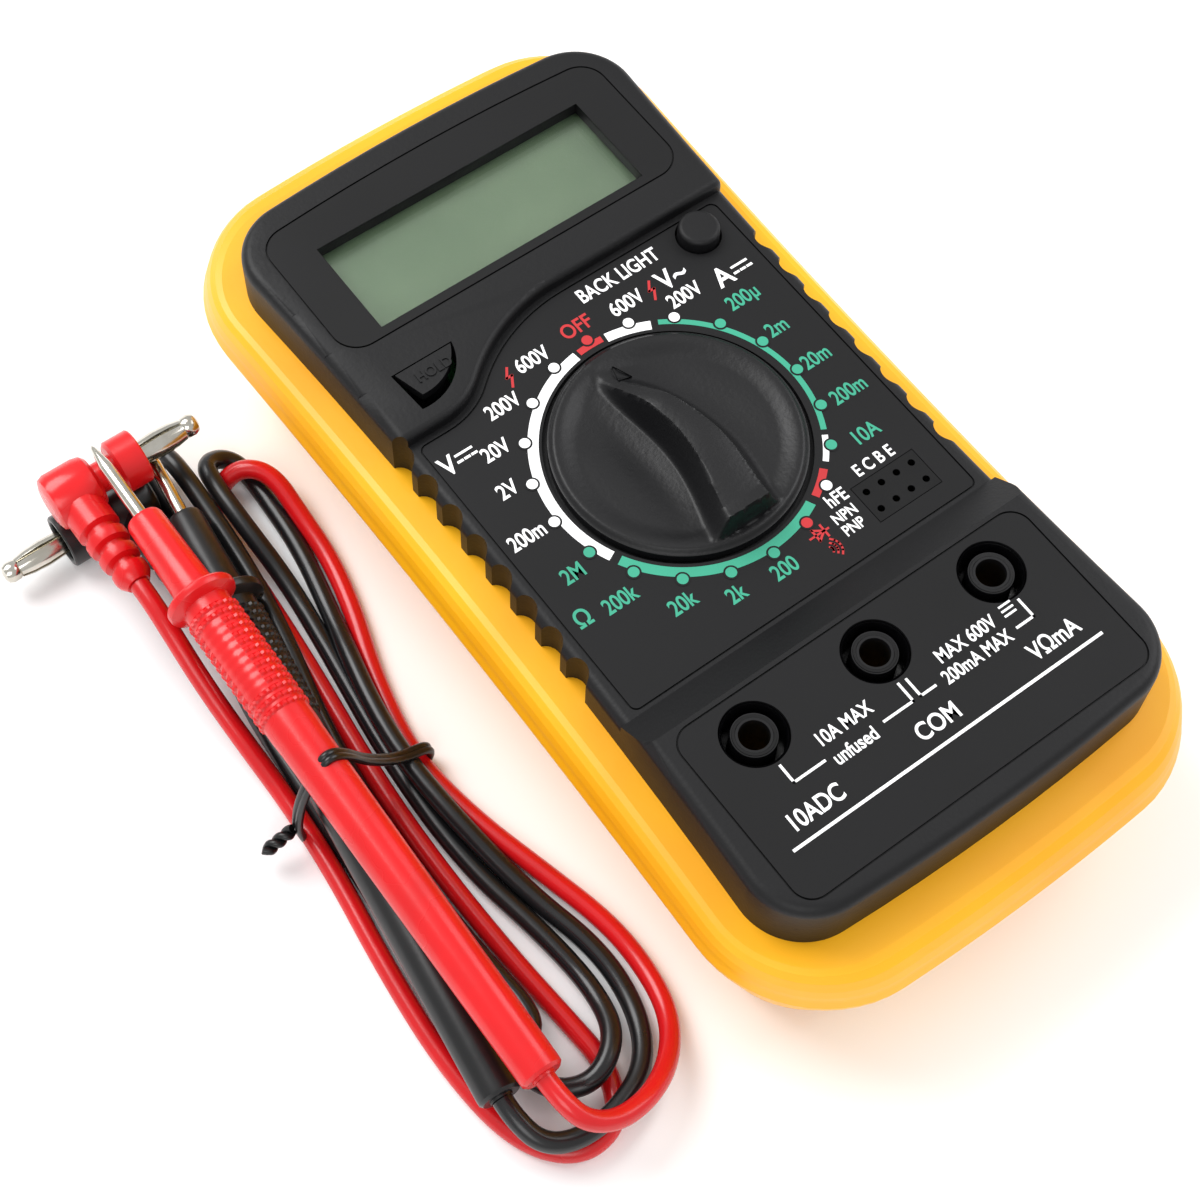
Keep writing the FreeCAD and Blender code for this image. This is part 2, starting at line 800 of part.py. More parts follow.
def make_flutes():
    """The finger grooves of both sides as one body of round bars."""
    body = new_body("flutes")
    reach = waist_half + S.flute_radius - S.flute_depth
    sketch = new_sketch(body, "flute_plan", height=S.boot_height - 1.4)
    draw_circle(sketch, -reach, dial_y + S.flute_first, S.flute_radius)
    draw_circle(sketch, reach, dial_y + S.flute_first, S.flute_radius)
    doc.recompute()
    first = pad(body, "flute_pad", sketch, as_size(20))
    pattern = body.newObject("PartDesign::LinearPattern", "flute_row")
    pattern.Originals = [first]
    pattern.Direction = (origin_item(body, "Y_Axis"), [""])
    bind(pattern, "Length", S.flute_pitch * (S.flute_count - 1))
    bind(pattern, "Occurrences", S.flute_count)
    body.Tip = pattern
    doc.recompute()
    return body


def tongue_outline(grow):
    """Plan of the hold key, or with grow of the slot round it."""
    root = dial_y + S.tongue_root
    left = S.tongue_x - 4.3
    return [
        Corner(left + 1.3 - 1.3 * grow, dial_y + 24.6 - 1.9 * grow, 7.5 + 0.7 * grow),
        Corner(left + 8.8 + 0.3 * grow, root),
        Corner(left - 0.5 * grow, root),
    ]


def label_outline(inset):
    """Outlines of the three labels, drawn in by inset: display, range and jack label."""
    half = label_half - inset
    display_end = case_top - 5.4 - inset
    display = rectangle(-half, display_y - 9.35 + inset, half, display_end)
    display[2].bend = bow_radius(half, as_size(1.2))
    range_bottom = slope_bottom + 0.5 + inset
    steps = step_corners(-half, half, 0.9 + inset)
    dial = [Corner(-half, range_bottom), Corner(half, range_bottom)] + steps
    jack = rectangle(-half, case_bottom + 3.4 + inset, half, slope_top - 0.6 - inset)
    return {"display": display, "range": dial, "jack": jack}


LABEL_CORNERS = {"display": 4.0, "range": 1.2, "jack": 3.0}


def label_level(name):
    return {"display": display_height, "range": dial_height, "jack": jack_height}[name]


def label_prism(name, prefix, inset, height):
    return prism(
        prefix + name,
        label_outline(inset)[name],
        label_level(name) - S.label_thickness,
        height,
        as_size(LABEL_CORNERS[name]) - inset,
    )[0]


jack_x = [-S.jack_pitch, as_size(0), S.jack_pitch]
sleeve_top = jack_height - S.post_lip
well_floor = board_top + 0.2 + S.well_wall


def make_front_case():
    dial_block = level_block("dial_block", dial_height, None)
    far = WIDE
    below_step = [Corner(-far, case_bottom - 9), Corner(far, case_bottom - 9)]
    region = below_step + step_corners(-far, far, 0)
    display_block = level_block("display_block", display_height, region, S.step_round)
    jack_block = level_block(
        "jack_block", jack_height, rectangle(-far, slope_bottom, far, case_top + 9)
    )
    ramp = new_sketch(jack_block, "ramp", plane="YZ_Plane")
    over = jack_height + 9
    slope = S.jack_step / S.slope_length
    draw_outline(
        ramp,
        [
            Corner(slope_bottom + 1, dial_height - slope),
            Corner(slope_bottom + 1, over),
            Corner(slope_top - 9 / slope, over),
        ],
    )
    doc.recompute()
    pocket(jack_block, "ramp_cut", ramp, as_size(2 * WIDE), midplane=True)

    cavity, _ = prism(
        "front_cavity",
        case_outline(S.case_wall),
        as_size(0),
        roof_height,
        S.case_corner - S.case_wall,
    )
    display_room = block(
        "display_room",
        (-inner_half + 0.6, step_high + S.case_wall, roof_height - 1),
        (2 * inner_half - 1.2, case_top - S.case_wall - 3 - step_high - S.case_wall, S.display_step + 1),
    )
    jack_room = block(
        "jack_room",
        (-inner_half + 1, case_bottom + S.case_wall + 2.5, roof_height - 1),
        (
            2 * inner_half - 2,
            slope_top - 1.6 - case_bottom - S.case_wall - 2.5,
            S.jack_step + 1,
        ),
    )
    blocks = fuse("case_blocks", [dial_block, display_block, jack_block])
    hollow = cut("case_hollow", blocks, [cavity, display_room, jack_room])

    added = [hollow, make_notched_ring()]
    removed = [make_flutes()]
    for number_of_jack, x in enumerate(jack_x):
        added.append(
            rod(
                f"jack_cup_{number_of_jack}",
                (x, jack_y, board_top + 0.2),
                S.well_radius + S.well_wall,
                jack_height - S.label_thickness - board_top - 0.2,
            )
        )
    for spot, (x, y) in enumerate(case_screw_spots):
        roof = roof_height if spot < 2 else jack_height - S.case_wall
        post_low = as_size(POST_JOIN + 0.1)
        added.append(rod(f"front_post_{spot}", (x, y, post_low), 2.6, roof - post_low + 0.5))
        removed.append(rod(f"front_pilot_{spot}", (x, y, 0), S.screw_radius + 0.02, POST_JOIN + 9))
    for spot, (x, y) in enumerate(board_screw_spots):
        roof = roof_height if spot < 2 else jack_height - S.case_wall
        added.append(rod(f"board_post_{spot}", (x, y, board_top), 2.2, roof - board_top + 0.5))
        removed.append(rod(f"board_pilot_{spot}", (x, y, 0), 0.95, board_top + 3.2))
    recess_low = dial_height - S.knob_sink
    recess_radius = S.knob_radius + S.knob_gap
    removed.append(rod("knob_recess", (0, dial_y, recess_low), recess_radius, 9))
    removed.append(rod("hub_hole", (0, dial_y, 0), S.hub_radius + S.hub_fit, 60))
    removed.append(
        centred_block(
            "display_opening",
            (as_size(0), display_y),
            as_size(0),
            (S.opening_width, S.opening_length, 60),
        )
    )
    removed.append(
        rod(
            "button_hole",
            (S.button_x, dial_y + S.button_y, 0),
            S.button_radius + S.button_gap,
            60,
        )
    )
    removed.append(
        centred_block(
            "socket_hole",
            (S.socket_x, dial_y + S.socket_y),
            as_size(0),
            (S.socket_width + 0.2, S.socket_length + 0.2, 60),
        )
    )
    slot = prism("tongue_slot", tongue_outline(1), as_size(0), as_size(60))[0]
    removed.append(slot)
    for number_of_jack, x in enumerate(jack_x):
        removed.append(rod(f"jack_well_{number_of_jack}", (x, jack_y, well_floor), S.well_radius, 20))
    for name in LABEL_CORNERS:
        removed.append(label_prism(name, "label_seat_", as_size(0), as_size(9)))
    shell = cut("case_open", fuse("case_filled", added), removed)
    posts = []
    bores = []
    for number_of_jack, x in enumerate(jack_x):
        posts.append(
            rod(
                f"jack_post_{number_of_jack}",
                (x, jack_y, board_top + 0.2),
                S.post_radius,
                jack_height - 0.3 - board_top - 0.2,
            )
        )
        bores.append(
            rod(
                f"sleeve_seat_{number_of_jack}",
                (x, jack_y, 0),
                S.jack_bore + S.sleeve_wall,
                sleeve_top,
            )
        )
        bores.append(rod(f"plug_hole_{number_of_jack}", (x, jack_y, 0), S.jack_bore, 60))
    piece(cut("front_finished", fuse("case_posts", [shell] + posts), bores), "front_case")


def make_labels():
    display = cut(
        "display_label_cut",
        label_prism("display", "label_", S.label_gap, S.label_thickness),
        [
            centred_block(
                "display_label_opening",
                (as_size(0), display_y),
                display_height - 2,
                (S.opening_width, S.opening_length, 4),
            )
        ],
    )
    piece(display, "display_label")
    dial = cut(
        "range_label_cut",
        label_prism("range", "label_", S.label_gap, S.label_thickness),
        [
            rod("label_knob_hole", (0, dial_y, dial_height - 2), S.knob_radius + S.knob_gap, 4),
            rod(
                "label_button_hole",
                (S.button_x, dial_y + S.button_y, dial_height - 2),
                S.button_radius + S.button_gap,
                4,
            ),
            centred_block(
                "label_socket_hole",
                (S.socket_x, dial_y + S.socket_y),
                dial_height - 2,
                (S.socket_width + 0.2, S.socket_length + 0.2, 4),
            ),
        ],
    )
    piece(dial, "range_label")
    holes = [
        rod(f"label_jack_hole_{spot}", (x, jack_y, jack_height - 2), S.well_radius, 4)
        for spot, x in enumerate(jack_x)
    ]
    jack = cut(
        "jack_label_cut",
        label_prism("jack", "label_", S.label_gap, S.label_thickness),
        holes,
    )
    piece(jack, "jack_label")


def make_case_screws():
    screws = []
    for spot, (x, y) in enumerate(case_screw_spots):
        head = rod(f"case_head_{spot}", (x, y, S.boot_back + 1), 2.4, 2)
        shank = rod(f"case_shank_{spot}", (x, y, S.boot_back + 2), S.screw_radius, 14)
        slot = block(f"case_slot_{spot}", (x - 2, y - 0.3, S.boot_back + 0.9), (4, 0.6, 0.9))
        cross = block(f"case_cross_{spot}", (x - 0.3, y - 2, S.boot_back + 0.9), (0.6, 4, 0.9))
        whole = fuse(f"case_screw_whole_{spot}", [head, shank])
        screws.append(cut(f"case_screw_{spot}", whole, [slot, cross]))
    piece(group("case_screw_set", screws), "case_screws")
    screws = []
    for spot, (x, y) in enumerate(board_screw_spots):
        head = rod(f"board_head_{spot}", (x, y, board_height - 1.3), 1.9, 1.3)
        shank = rod(f"board_shank_{spot}", (x, y, board_height - 0.5), 0.93, 4.7)
        slot = block(f"board_slot_{spot}", (x - 2, y - 0.25, board_height - 1.4), (4, 0.5, 0.7))
        whole = fuse(f"board_screw_whole_{spot}", [head, shank])
        screws.append(cut(f"board_screw_{spot}", whole, [slot]))
    piece(group("board_screw_set", screws), "board_screws")


# ---------------------------------------------------------------- display stack

glass_y = display_y + 0.45
window_height = display_height - S.case_wall - S.window_thickness
glass_height = window_height - 0.2 - S.glass_thickness
light_height = glass_height - S.light_thickness
FRAME_WALL = 1.0
FRAME_FIT = 0.1
ZEBRA_LENGTH = 1.8


def make_display():
    lap = 2 * S.window_lap
    window = centred_block(
        "window",
        (as_size(0), display_y),
        window_height,
        (S.opening_width + lap, S.opening_length + lap, S.window_thickness),
    )
    piece(window, "display_window")
    glass = centred_block(
        "glass",
        (as_size(0), glass_y),
        glass_height,
        (S.glass_width, S.glass_length, S.glass_thickness),
    )
    piece(glass, "lcd_glass")
    glass_low = glass_y - S.glass_length / 2
    zebra_low = glass_y + S.glass_length / 2 - ZEBRA_LENGTH - 0.1
    light_width = S.glass_width - 3.2
    light = block(
        "light_guide",
        (-light_width / 2, glass_low + 0.2, light_height),
        (light_width, zebra_low - 0.4 - glass_low - 0.2, S.light_thickness),
    )
    piece(light, "backlight_panel")
    leds = []
    for spot in range(2):
        y = glass_low + 5 + spot * (S.glass_length - 14)
        leds.append(block(f"led_{spot}", (-light_width / 2 - 1.2, y, light_height), (1.1, 3, 1.4)))
    piece(group("led_pair", leds), "backlight_leds")
    zebra = block(
        "zebra",
        (-S.glass_width / 2 + 1, zebra_low, board_top),
        (S.glass_width - 2, ZEBRA_LENGTH, glass_height - board_top),
    )
    piece(zebra, "zebra_strip")
    outer = centred_block(
        "frame_outer",
        (as_size(0), glass_y),
        board_top,
        (
            S.glass_width + 2 * FRAME_FIT + 2 * FRAME_WALL,
            S.glass_length + 2 * FRAME_FIT + 2 * FRAME_WALL,
            glass_height + S.glass_thickness - board_top,
        ),
    )
    inner = centred_block(
        "frame_inner",
        (as_size(0), glass_y),
        board_top - 1,
        (S.glass_width + 2 * FRAME_FIT, S.glass_length + 2 * FRAME_FIT, 20),
    )
    piece(cut("frame_ring", outer, [inner]), "lcd_frame")


# ---------------------------------------------------------------- circuit board and what is on it

fuse_y = case_bottom + 13.4
fuse_x = as_size(-1)
FUSE_LENGTH = 20.0
FUSE_RADIUS = 2.6
fuse_height = board_height - 4.2


def tube_path(points, bend):
    """A wire of straight runs joined by tangent arcs of one radius."""
    edges = []
    start = points[0]
    for before, corner, after in zip(points, points[1:], points[2:]):
        way_in = (corner - before).normalize()
        way_out = (after - corner).normalize()
        turn = way_in.getAngle(way_out)
        trim = bend * math.tan(turn / 2)
        arc_start = corner - way_in * trim
        arc_end = corner + way_out * trim
        inward = (way_out - way_in).normalize()
        arc_mid = corner + inward * (bend / math.cos(turn / 2) - bend)
        edges.append(Part.LineSegment(start, arc_start).toShape())
        edges.append(Part.Arc(arc_start, arc_mid, arc_end).toShape())
        start = arc_end
    edges.append(Part.LineSegment(start, points[-1]).toShape())
    return Part.Wire(edges)


def tube(name, points, radius, bend):
    """A round bar along a path, with its volume compared with section times length."""
    path = tube_path(points, bend)
    heading = (points[1] - points[0]).normalize()
    profile = Part.Wire([Part.Circle(points[0], heading, radius).toShape()])
    solid = path.makePipeShell([profile], True, False)
    expected = math.pi * radius**2 * path.Length
    if abs(solid.Volume - expected) > 0.02 * expected:
        sys.exit(f"{name} has volume {solid.Volume:.1f}, not {expected:.1f}")
    thing = doc.addObject("Part::Feature", name)
    thing.Shape = solid
    return thing


def make_board():
    corners = case_outline(S.case_wall + S.board_gap)
    plate, _ = prism(
        "board_plate",
        corners,
        board_height,
        S.board_thickness,
        S.case_corner - S.case_wall - S.board_gap,
    )
    holes = [rod("board_centre", (0, dial_y, board_height - 1), 3.6, 4)]
    for spot, (x, y) in enumerate(case_screw_spots):
        holes.append(rod(f"board_notch_{spot}", (x, y, board_height - 1), 3.1, 4))
        beyond = (x + 3, y) if number(x) > 0 else (x - 3, y)
        holes.append(rod(f"board_notch_side_{spot}", (*beyond, board_height - 1), 3.1, 4))
    for spot, (x, y) in enumerate(board_screw_spots):
        holes.append(rod(f"board_screw_hole_{spot}", (x, y, board_height - 1), 1.2, 4))
    for spot, x in enumerate(jack_x):
        radius = S.jack_bore + S.sleeve_wall + 0.05
        holes.append(rod(f"board_jack_hole_{spot}", (x, jack_y, board_height - 1), radius, 4))
    for spot, (x, y) in enumerate(socket_spots()):
        holes.append(rod(f"board_pin_hole_{spot}", (x, y, board_height - 1), 0.45, 4))
    piece(cut("board_drilled", plate, holes), "circuit_board")


def socket_spots():
    """The eight transistor socket holes."""
    spots = []
    for row in (-0.5, 0.5):
        for column in (-1.5, -0.5, 0.5, 1.5):
            x = S.socket_x + S.socket_pitch * column
            y = dial_y + S.socket_y + S.socket_row * row
            spots.append((x, y))
    return spots


def make_socket():
    body = centred_block(
        "socket_block",
        (S.socket_x, dial_y + S.socket_y),
        board_top,
        (S.socket_width, S.socket_length, dial_height - board_top),
    )
    holes = [
        rod(f"socket_bore_{spot}", (x, y, board_top - 1), 0.5, 20)
        for spot, (x, y) in enumerate(socket_spots())
    ]
    piece(cut("socket_bored", body, holes), "transistor_socket")
    contacts = [
        rod(f"socket_contact_{spot}", (x, y, board_height - 0.2), 0.4, dial_height - 2.8 - board_height)
        for spot, (x, y) in enumerate(socket_spots())
    ]
    piece(group("socket_contact_set", contacts), "transistor_contacts")


def make_jacks():
    for name, x in zip(("high_current", "common", "voltage"), jack_x):
        outer = rod(
            f"sleeve_outer_{name}",
            (x, jack_y, sleeve_top - S.sleeve_length),
            S.jack_bore + S.sleeve_wall,
            S.sleeve_length,
        )
        inner = rod(
            f"sleeve_inner_{name}", (x, jack_y, sleeve_top - S.sleeve_length - 1), S.jack_bore, 30
        )
        piece(cut(f"sleeve_{name}", outer, [inner]), f"jack_sleeve_{name}")


def make_switches():
    for name, x, y in (
        ("hold_switch", S.tongue_x, dial_y + S.tongue_y),
        ("backlight_switch", S.button_x, dial_y + S.button_y),
    ):
        body = centred_block(name + "_body", (x, y), board_top, (S.tact_size, S.tact_size, S.tact_height))
        plunger = rod(name + "_plunger", (x, y, board_top), 1.6, S.tact_height + 0.2)
        piece(fuse(name + "_whole", [body, plunger]), name)


def make_small_parts():
    blob = rod("chip_blob", (0, dial_y + 36, board_height - 1.6), 7.5, 1.6)
    low = number(board_height) - 1.6
    piece(rounded("chip_dome", blob, 1.2, lies_at(low)), "main_chip")

    resistors = []
    for row in range(2):
        for column in range(6):
            x = as_size(-13.75 + 5.5 * column)
            y = dial_y + 1.5 + 11.5 * row
            middle = board_height - 1.5
            parts = [
                rod(f"resistor_body_{row}{column}", (x, y - 3.2, middle), 1.1, 6.4, ALONG_Y),
                rod(f"resistor_wire_{row}{column}", (x, y - 4.6, middle), 0.3, 9.2, ALONG_Y),
                rod(f"resistor_leg_a_{row}{column}", (x, y - 4.3, middle), 0.25, 1.5),
                rod(f"resistor_leg_b_{row}{column}", (x, y + 4.3, middle), 0.25, 1.5),
            ]
            resistors.append(fuse(f"resistor_{row}{column}", parts))
    piece(group("resistor_set", resistors), "resistors")

    capacitors = []
    for spot, x in enumerate((-19.0, 19.0)):
        can = rod(f"capacitor_can_{spot}", (x, dial_y + 27, board_height - 7), 2.5, 7)
        low = number(board_height) - 7
        capacitors.append(rounded(f"capacitor_{spot}", can, 0.4, lies_at(low)))
    piece(group("capacitor_set", capacitors), "capacitors")

    trimmer_middle = (as_size(16), dial_y + 36)
    body = centred_block("trimmer_body", trimmer_middle, board_height - 3, (6, 6, 3))
    rotor = rod("trimmer_rotor", (*trimmer_middle, board_height - 3.6), 2.2, 1)
    slot = centred_block("trimmer_slot", trimmer_middle, board_height - 4, (3.4, 0.6, 0.8))
    piece(cut("trimmer_slotted", fuse("trimmer", [body, rotor]), [slot]), "trimmer_pot")

    left, right = jack_x[0].value + 4.5, jack_x[1].value - 4.5
    y, top = jack_y.value, board_height.value
    shunt = tube(
        "shunt",
        [Vector(left, y, top), Vector(left, y, top - 6), Vector(right, y, top - 6), Vector(right, y, top)],
        0.8,
        2.0,
    )
    piece(shunt, "shunt_wire")

    glass = rod("fuse_glass", (fuse_x + 4, fuse_y, fuse_height), 2.4, FUSE_LENGTH - 8, ALONG_X)
    piece(glass, "fuse_tube")
    caps = []
    clips = []
    for side, x in (("low", fuse_x), ("high", fuse_x + FUSE_LENGTH - 6)):
        cap = rod(f"fuse_cap_rod_{side}", (x, fuse_y, fuse_height), FUSE_RADIUS, 6, ALONG_X)
        inner_x = x + 4 if side == "low" else x
        room = rod(f"fuse_cap_room_{side}", (inner_x, fuse_y, fuse_height), 2.4, 2, ALONG_X)
        caps.append(cut(f"fuse_cap_{side}", cap, [room]))
        cradle = block(
            f"fuse_cradle_{side}",
            (x + 1, fuse_y - FUSE_RADIUS - 0.5, fuse_height - 1.6),
            (4, 2 * FUSE_RADIUS + 1, board_height - fuse_height + 1.6),
        )
        seat = rod(f"fuse_seat_{side}", (x, fuse_y, fuse_height), FUSE_RADIUS, 6, ALONG_X)
        throat = block(
            f"fuse_throat_{side}",
            (x, fuse_y - FUSE_RADIUS + 0.5, fuse_height - 3),
            (6, 2 * FUSE_RADIUS - 1, 3),
        )
        clips.append(cut(f"fuse_clip_{side}", cradle, [seat, throat]))
    piece(group("fuse_cap_set", caps), "fuse_caps")
    piece(group("fuse_clip_set", clips), "fuse_clips")

    disc = rod("piezo_disc", (0, buzzer_y, floor_height + 2), BUZZER_RADIUS, 0.5)
    piece(disc, "buzzer_disc")


# ---------------------------------------------------------------- battery

battery_left = -inner_half + 1.4
battery_right = battery_left + S.battery_length
TERMINAL_HEIGHT = 2.1
SNAP_THICKNESS = 3.6


def make_battery():
    body = block(
        "battery_body",
        (battery_left, battery_low_y, battery_height),
        (S.battery_length, S.battery_width, S.battery_thickness),
    )
    along_x = rounded("battery_rounded", body, 1.8, lambda edge: edge.BoundBox.XLength > 10)
    middle = battery_height + S.battery_thickness / 2
    poles = []
    pockets = []
    for name, y, radius in (("plus", battery_y + 6.35, 2.9), ("minus", battery_y - 6.35, 3.3)):
        pole_start = (battery_right - 0.5, y, middle)
        poles.append(rod(f"pole_{name}", pole_start, radius, TERMINAL_HEIGHT + 0.5, ALONG_X))
        pocket_start = (battery_right, y, middle)
        pocket_depth = TERMINAL_HEIGHT + 0.1
        pockets.append(rod(f"snap_pocket_{name}", pocket_start, radius + 0.1, pocket_depth, ALONG_X))
    piece(fuse("battery_whole", [along_x] + poles), "battery")
    plate = block(
        "snap_plate",
        (battery_right + 0.2, battery_low_y + 0.6, middle - 6.4),
        (SNAP_THICKNESS, S.battery_width - 1.2, 12.8),
    )
    piece(cut("snap_cap", plate, pockets), "battery_snap")
    wires = []
    snap_face = battery_right.value + 0.2 + SNAP_THICKNESS
    for name, shift in (("red", 4.0), ("black", -4.0)):
        y = battery_y.value + shift
        z = middle.value
        bend_x = snap_face + 1.2
        points = [
            Vector(snap_face, y, z + 2),
            Vector(bend_x, y, z + 2),
            Vector(bend_x, y, board_height.value),
        ]
        wires.append(tube(f"battery_wire_{name}", points, 0.5, 1.0))
    piece(group("battery_wire_pair", wires), "battery_wires")


# ---------------------------------------------------------------- the dial

knob_floor = dial_height - S.knob_sink + S.knob_lift
carrier_top = roof_height - S.carrier_gap
carrier_low = carrier_top - S.carrier_height
ball_height = carrier_low + S.carrier_height / 2
ball_reach = S.detent_radius - S.ball_clearance - S.ball_radius
BALL_ANGLES = (45, 225)
SPRING_INNER = 9.0


def ridge_outline():
    """Plan of the grip ridge, from the narrow pointer end to the blunt end."""
    return [
        Corner(-1.0, 14.4),
        Corner(-3.3, -14.4, 12),
        Corner(3.3, -14.4),
        Corner(1.0, 14.4),
    ]


def make_knob():
    body = new_body("knob")
    sketch = new_sketch(body, "knob_profile", plane="XZ_Plane")
    rim_top = dial_height + S.knob_rim
    draw_outline(
        sketch,
        [
            Corner(0, knob_floor),
            Corner(S.knob_radius, knob_floor),
            Corner(S.knob_radius, rim_top - 0.8),
            Corner(S.knob_radius - 0.8, rim_top),
            Corner(S.knob_radius - 1.8, rim_top),
            Corner(10, rim_top - 0.9),
            Corner(0, rim_top - 0.9),
        ],
    )
    doc.recompute()
    revolve(body, "knob_disc", sketch, "Z_Axis")
    ridge = new_sketch(body, "ridge_plan", height=rim_top - 1.6)
    draw_outline(ridge, ridge_outline())
    doc.recompute()
    top = dial_height + S.knob_ridge
    feature = pad(body, "ridge_pad", ridge, top - rim_top + 1.6)
    soften(body, "ridge_top", feature, as_size(0.6), lies_at(top))
    hub_sketch = new_sketch(body, "hub_plan", height=carrier_top)
    draw_circle(hub_sketch, 0, 0, S.hub_radius)
    doc.recompute()
    pad(body, "hub_pad", hub_sketch, knob_floor - carrier_top + 0.5)
    drive_sketch = new_sketch(body, "drive_plan", height=carrier_low)
    half = S.key_square / 2
    draw_outline(drive_sketch, rectangle(-half, -half, half, half))
    doc.recompute()
    pad(body, "drive_pad", drive_sketch, S.carrier_height + 0.5)
    pilot = new_sketch(body, "pilot_plan", height=carrier_low)
    draw_circle(pilot, 0, 0, as_size(1.12))
    doc.recompute()
    pocket(body, "pilot_hole", pilot, as_size(4.2))
    place(body, (0, dial_y, 0))
    piece(body, "dial_knob")


def make_carrier():
    disc = rod("carrier_disc", (0, dial_y, carrier_low), S.carrier_radius, S.carrier_height)
    holes = [
        centred_block(
            "carrier_square",
            (as_size(0), dial_y),
            carrier_low - 1,
            (S.key_square, S.key_square, 6),
        )
    ]
    for angle in BALL_ANGLES:
        turn = math.radians(angle)
        spot = (
            as_size(SPRING_INNER * math.cos(turn)),
            dial_y + SPRING_INNER * math.sin(turn),
            ball_height,
        )
        heading = FreeCAD.Rotation(Vector(0, 0, 1), Vector(math.cos(turn), math.sin(turn), 0))
        holes.append(rod(f"ball_bore_{angle}", spot, S.ball_radius + 0.05, 9, heading))
    piece(cut("carrier_bored", disc, holes), "contact_carrier")

    balls = []
    springs = []
    for angle in BALL_ANGLES:
        turn = math.radians(angle)
        ball = doc.addObject("Part::Sphere", f"ball_{angle}")
        bind(ball, "Radius", S.ball_radius)
        place(ball, (ball_reach * math.cos(turn), dial_y + ball_reach * math.sin(turn), ball_height))
        balls.append(ball)
        springs.append(make_spring(angle))
    piece(group("ball_pair", balls), "detent_balls")
    piece(group("spring_pair", springs), "detent_springs")

    wipers = []
    for number_of_wiper, angle in enumerate((0, 120, 240)):
        turn = FreeCAD.Rotation(Vector(0, 0, 1), angle)
        parts = []
        for name, low, span in (
            ("strip", Vector(8, -1.5, -0.2), (7, 3, 0.2)),
            ("foot_in", Vector(8.4, -0.6, -0.4), (0.9, 1.2, 0.3)),
            ("foot_out", Vector(13.6, -0.6, -0.4), (0.9, 1.2, 0.3)),
        ):
            corner = turn.multVec(low)
            bar = doc.addObject("Part::Box", f"wiper_{name}_{number_of_wiper}")
            bar.Length, bar.Width, bar.Height = span
            place(bar, (as_size(corner.x), dial_y + corner.y, carrier_low + corner.z), turn)
            parts.append(bar)
        wipers.append(fuse(f"wiper_{number_of_wiper}", parts))
    piece(group("wiper_set", wipers), "wiper_contacts")

    head = rod("dial_screw_head", (0, dial_y, carrier_low - 1.3), 2.5, 1.3)
    shank = rod("dial_screw_shank", (0, dial_y, carrier_low - 0.5), 1.1, 4.2)
    slot = centred_block("dial_screw_slot", (as_size(0), dial_y), carrier_low - 1.5, (6, 0.5, 0.9))
    piece(cut("dial_screw_slotted", fuse("dial_screw_whole", [head, shank]), [slot]), "dial_screw")


def make_spring(angle):
    """The spring behind one detent ball, as a sleeve of its outer shape."""
    turn = math.radians(angle)
    length = ball_reach - S.ball_radius - SPRING_INNER - 0.1
    heading = FreeCAD.Rotation(Vector(0, 0, 1), Vector(math.cos(turn), math.sin(turn), 0))
    start = SPRING_INNER + 0.05
    spot = (as_size(start * math.cos(turn)), dial_y + start * math.sin(turn), ball_height)
    outer = rod(f"spring_outer_{angle}", spot, S.ball_radius - 0.1, length, heading)
    before = SPRING_INNER - 1
    inner_spot = (as_size(before * math.cos(turn)), dial_y + before * math.sin(turn), ball_height)
    inner = rod(f"spring_inner_{angle}", inner_spot, S.ball_radius - 0.4, length + 2, heading)
    return cut(f"spring_{angle}", outer, [inner])


# ---------------------------------------------------------------- the two keys


def make_keys():
    tongue_low = display_height - S.tongue_thickness
    tongue, _ = prism(
        "tongue",
        [
            Corner(corner.x, corner.y - (S.tongue_gap if spot else 0), corner.bend)
            for spot, corner in enumerate(tongue_outline(0))
        ],
        tongue_low,
        S.tongue_thickness,
    )
    stem_low = board_top + S.tact_height + 0.55
    stem = rod(
        "tongue_stem",
        (S.tongue_x, dial_y + S.tongue_y, stem_low),
        1.5,
        tongue_low - stem_low + 0.5,
    )
    piece(fuse("tongue_whole", [tongue, stem]), "hold_key")

    spot = (S.button_x, dial_y + S.button_y)
    flange_low = board_top + S.tact_height + 1.1
    cap = rod("button_cap", (*spot, flange_low), S.button_radius, dial_height + S.button_rise - flange_low)
    top = number(dial_height + S.button_rise)
    crowned = rounded("button_crowned", cap, 0.7, lies_at(top))
    flange = rod("button_flange", (*spot, flange_low), S.button_radius + 0.9, 0.8)
    piece(fuse("button_whole", [crowned, flange]), "backlight_button")


# ---------------------------------------------------------------- the test leads

# The leads lie beside the meter. The black probe lies on the folded leads and the red probe lies
# across it, so each probe has a nose point and a tail point of its own.
PROBES = {
    "red": (Vector(-59.6, 38.4, 17.5), Vector(-60.6, -54.5, 14.5)),
    "black": (Vector(-53.5, 40.2, 9.1), Vector(-65.2, -52.0, 7.7)),
}
PLUGS = {
    "red": (Vector(-59.4, 50.2, 12.8), 1),
    "black": (Vector(-62.8, 49.4, 4.3), -1),
}
HANK_PLAN = [
    (-46.5, 53.5),
    (-42.0, 49.5),
    (-38.0, 39.5),
    (-38.0, 29.0),
    (-41.5, 11.0),
    (-45.5, -6.0),
    (-43.0, -22.0),
    (-39.5, -35.0),
    (-39.0, -47.0),
    (-42.5, -56.0),
    (-50.0, -61.5),
    (-60.0, -61.8),
    (-67.5, -53.0),
    (-69.5, -40.0),
    (-66.5, -22.0),
    (-63.5, -6.0),
    (-64.5, 8.0),
    (-64.0, 22.0),
    (-57.0, 29.0),
    (-51.5, 38.0),
    (-50.5, 50.0),
]


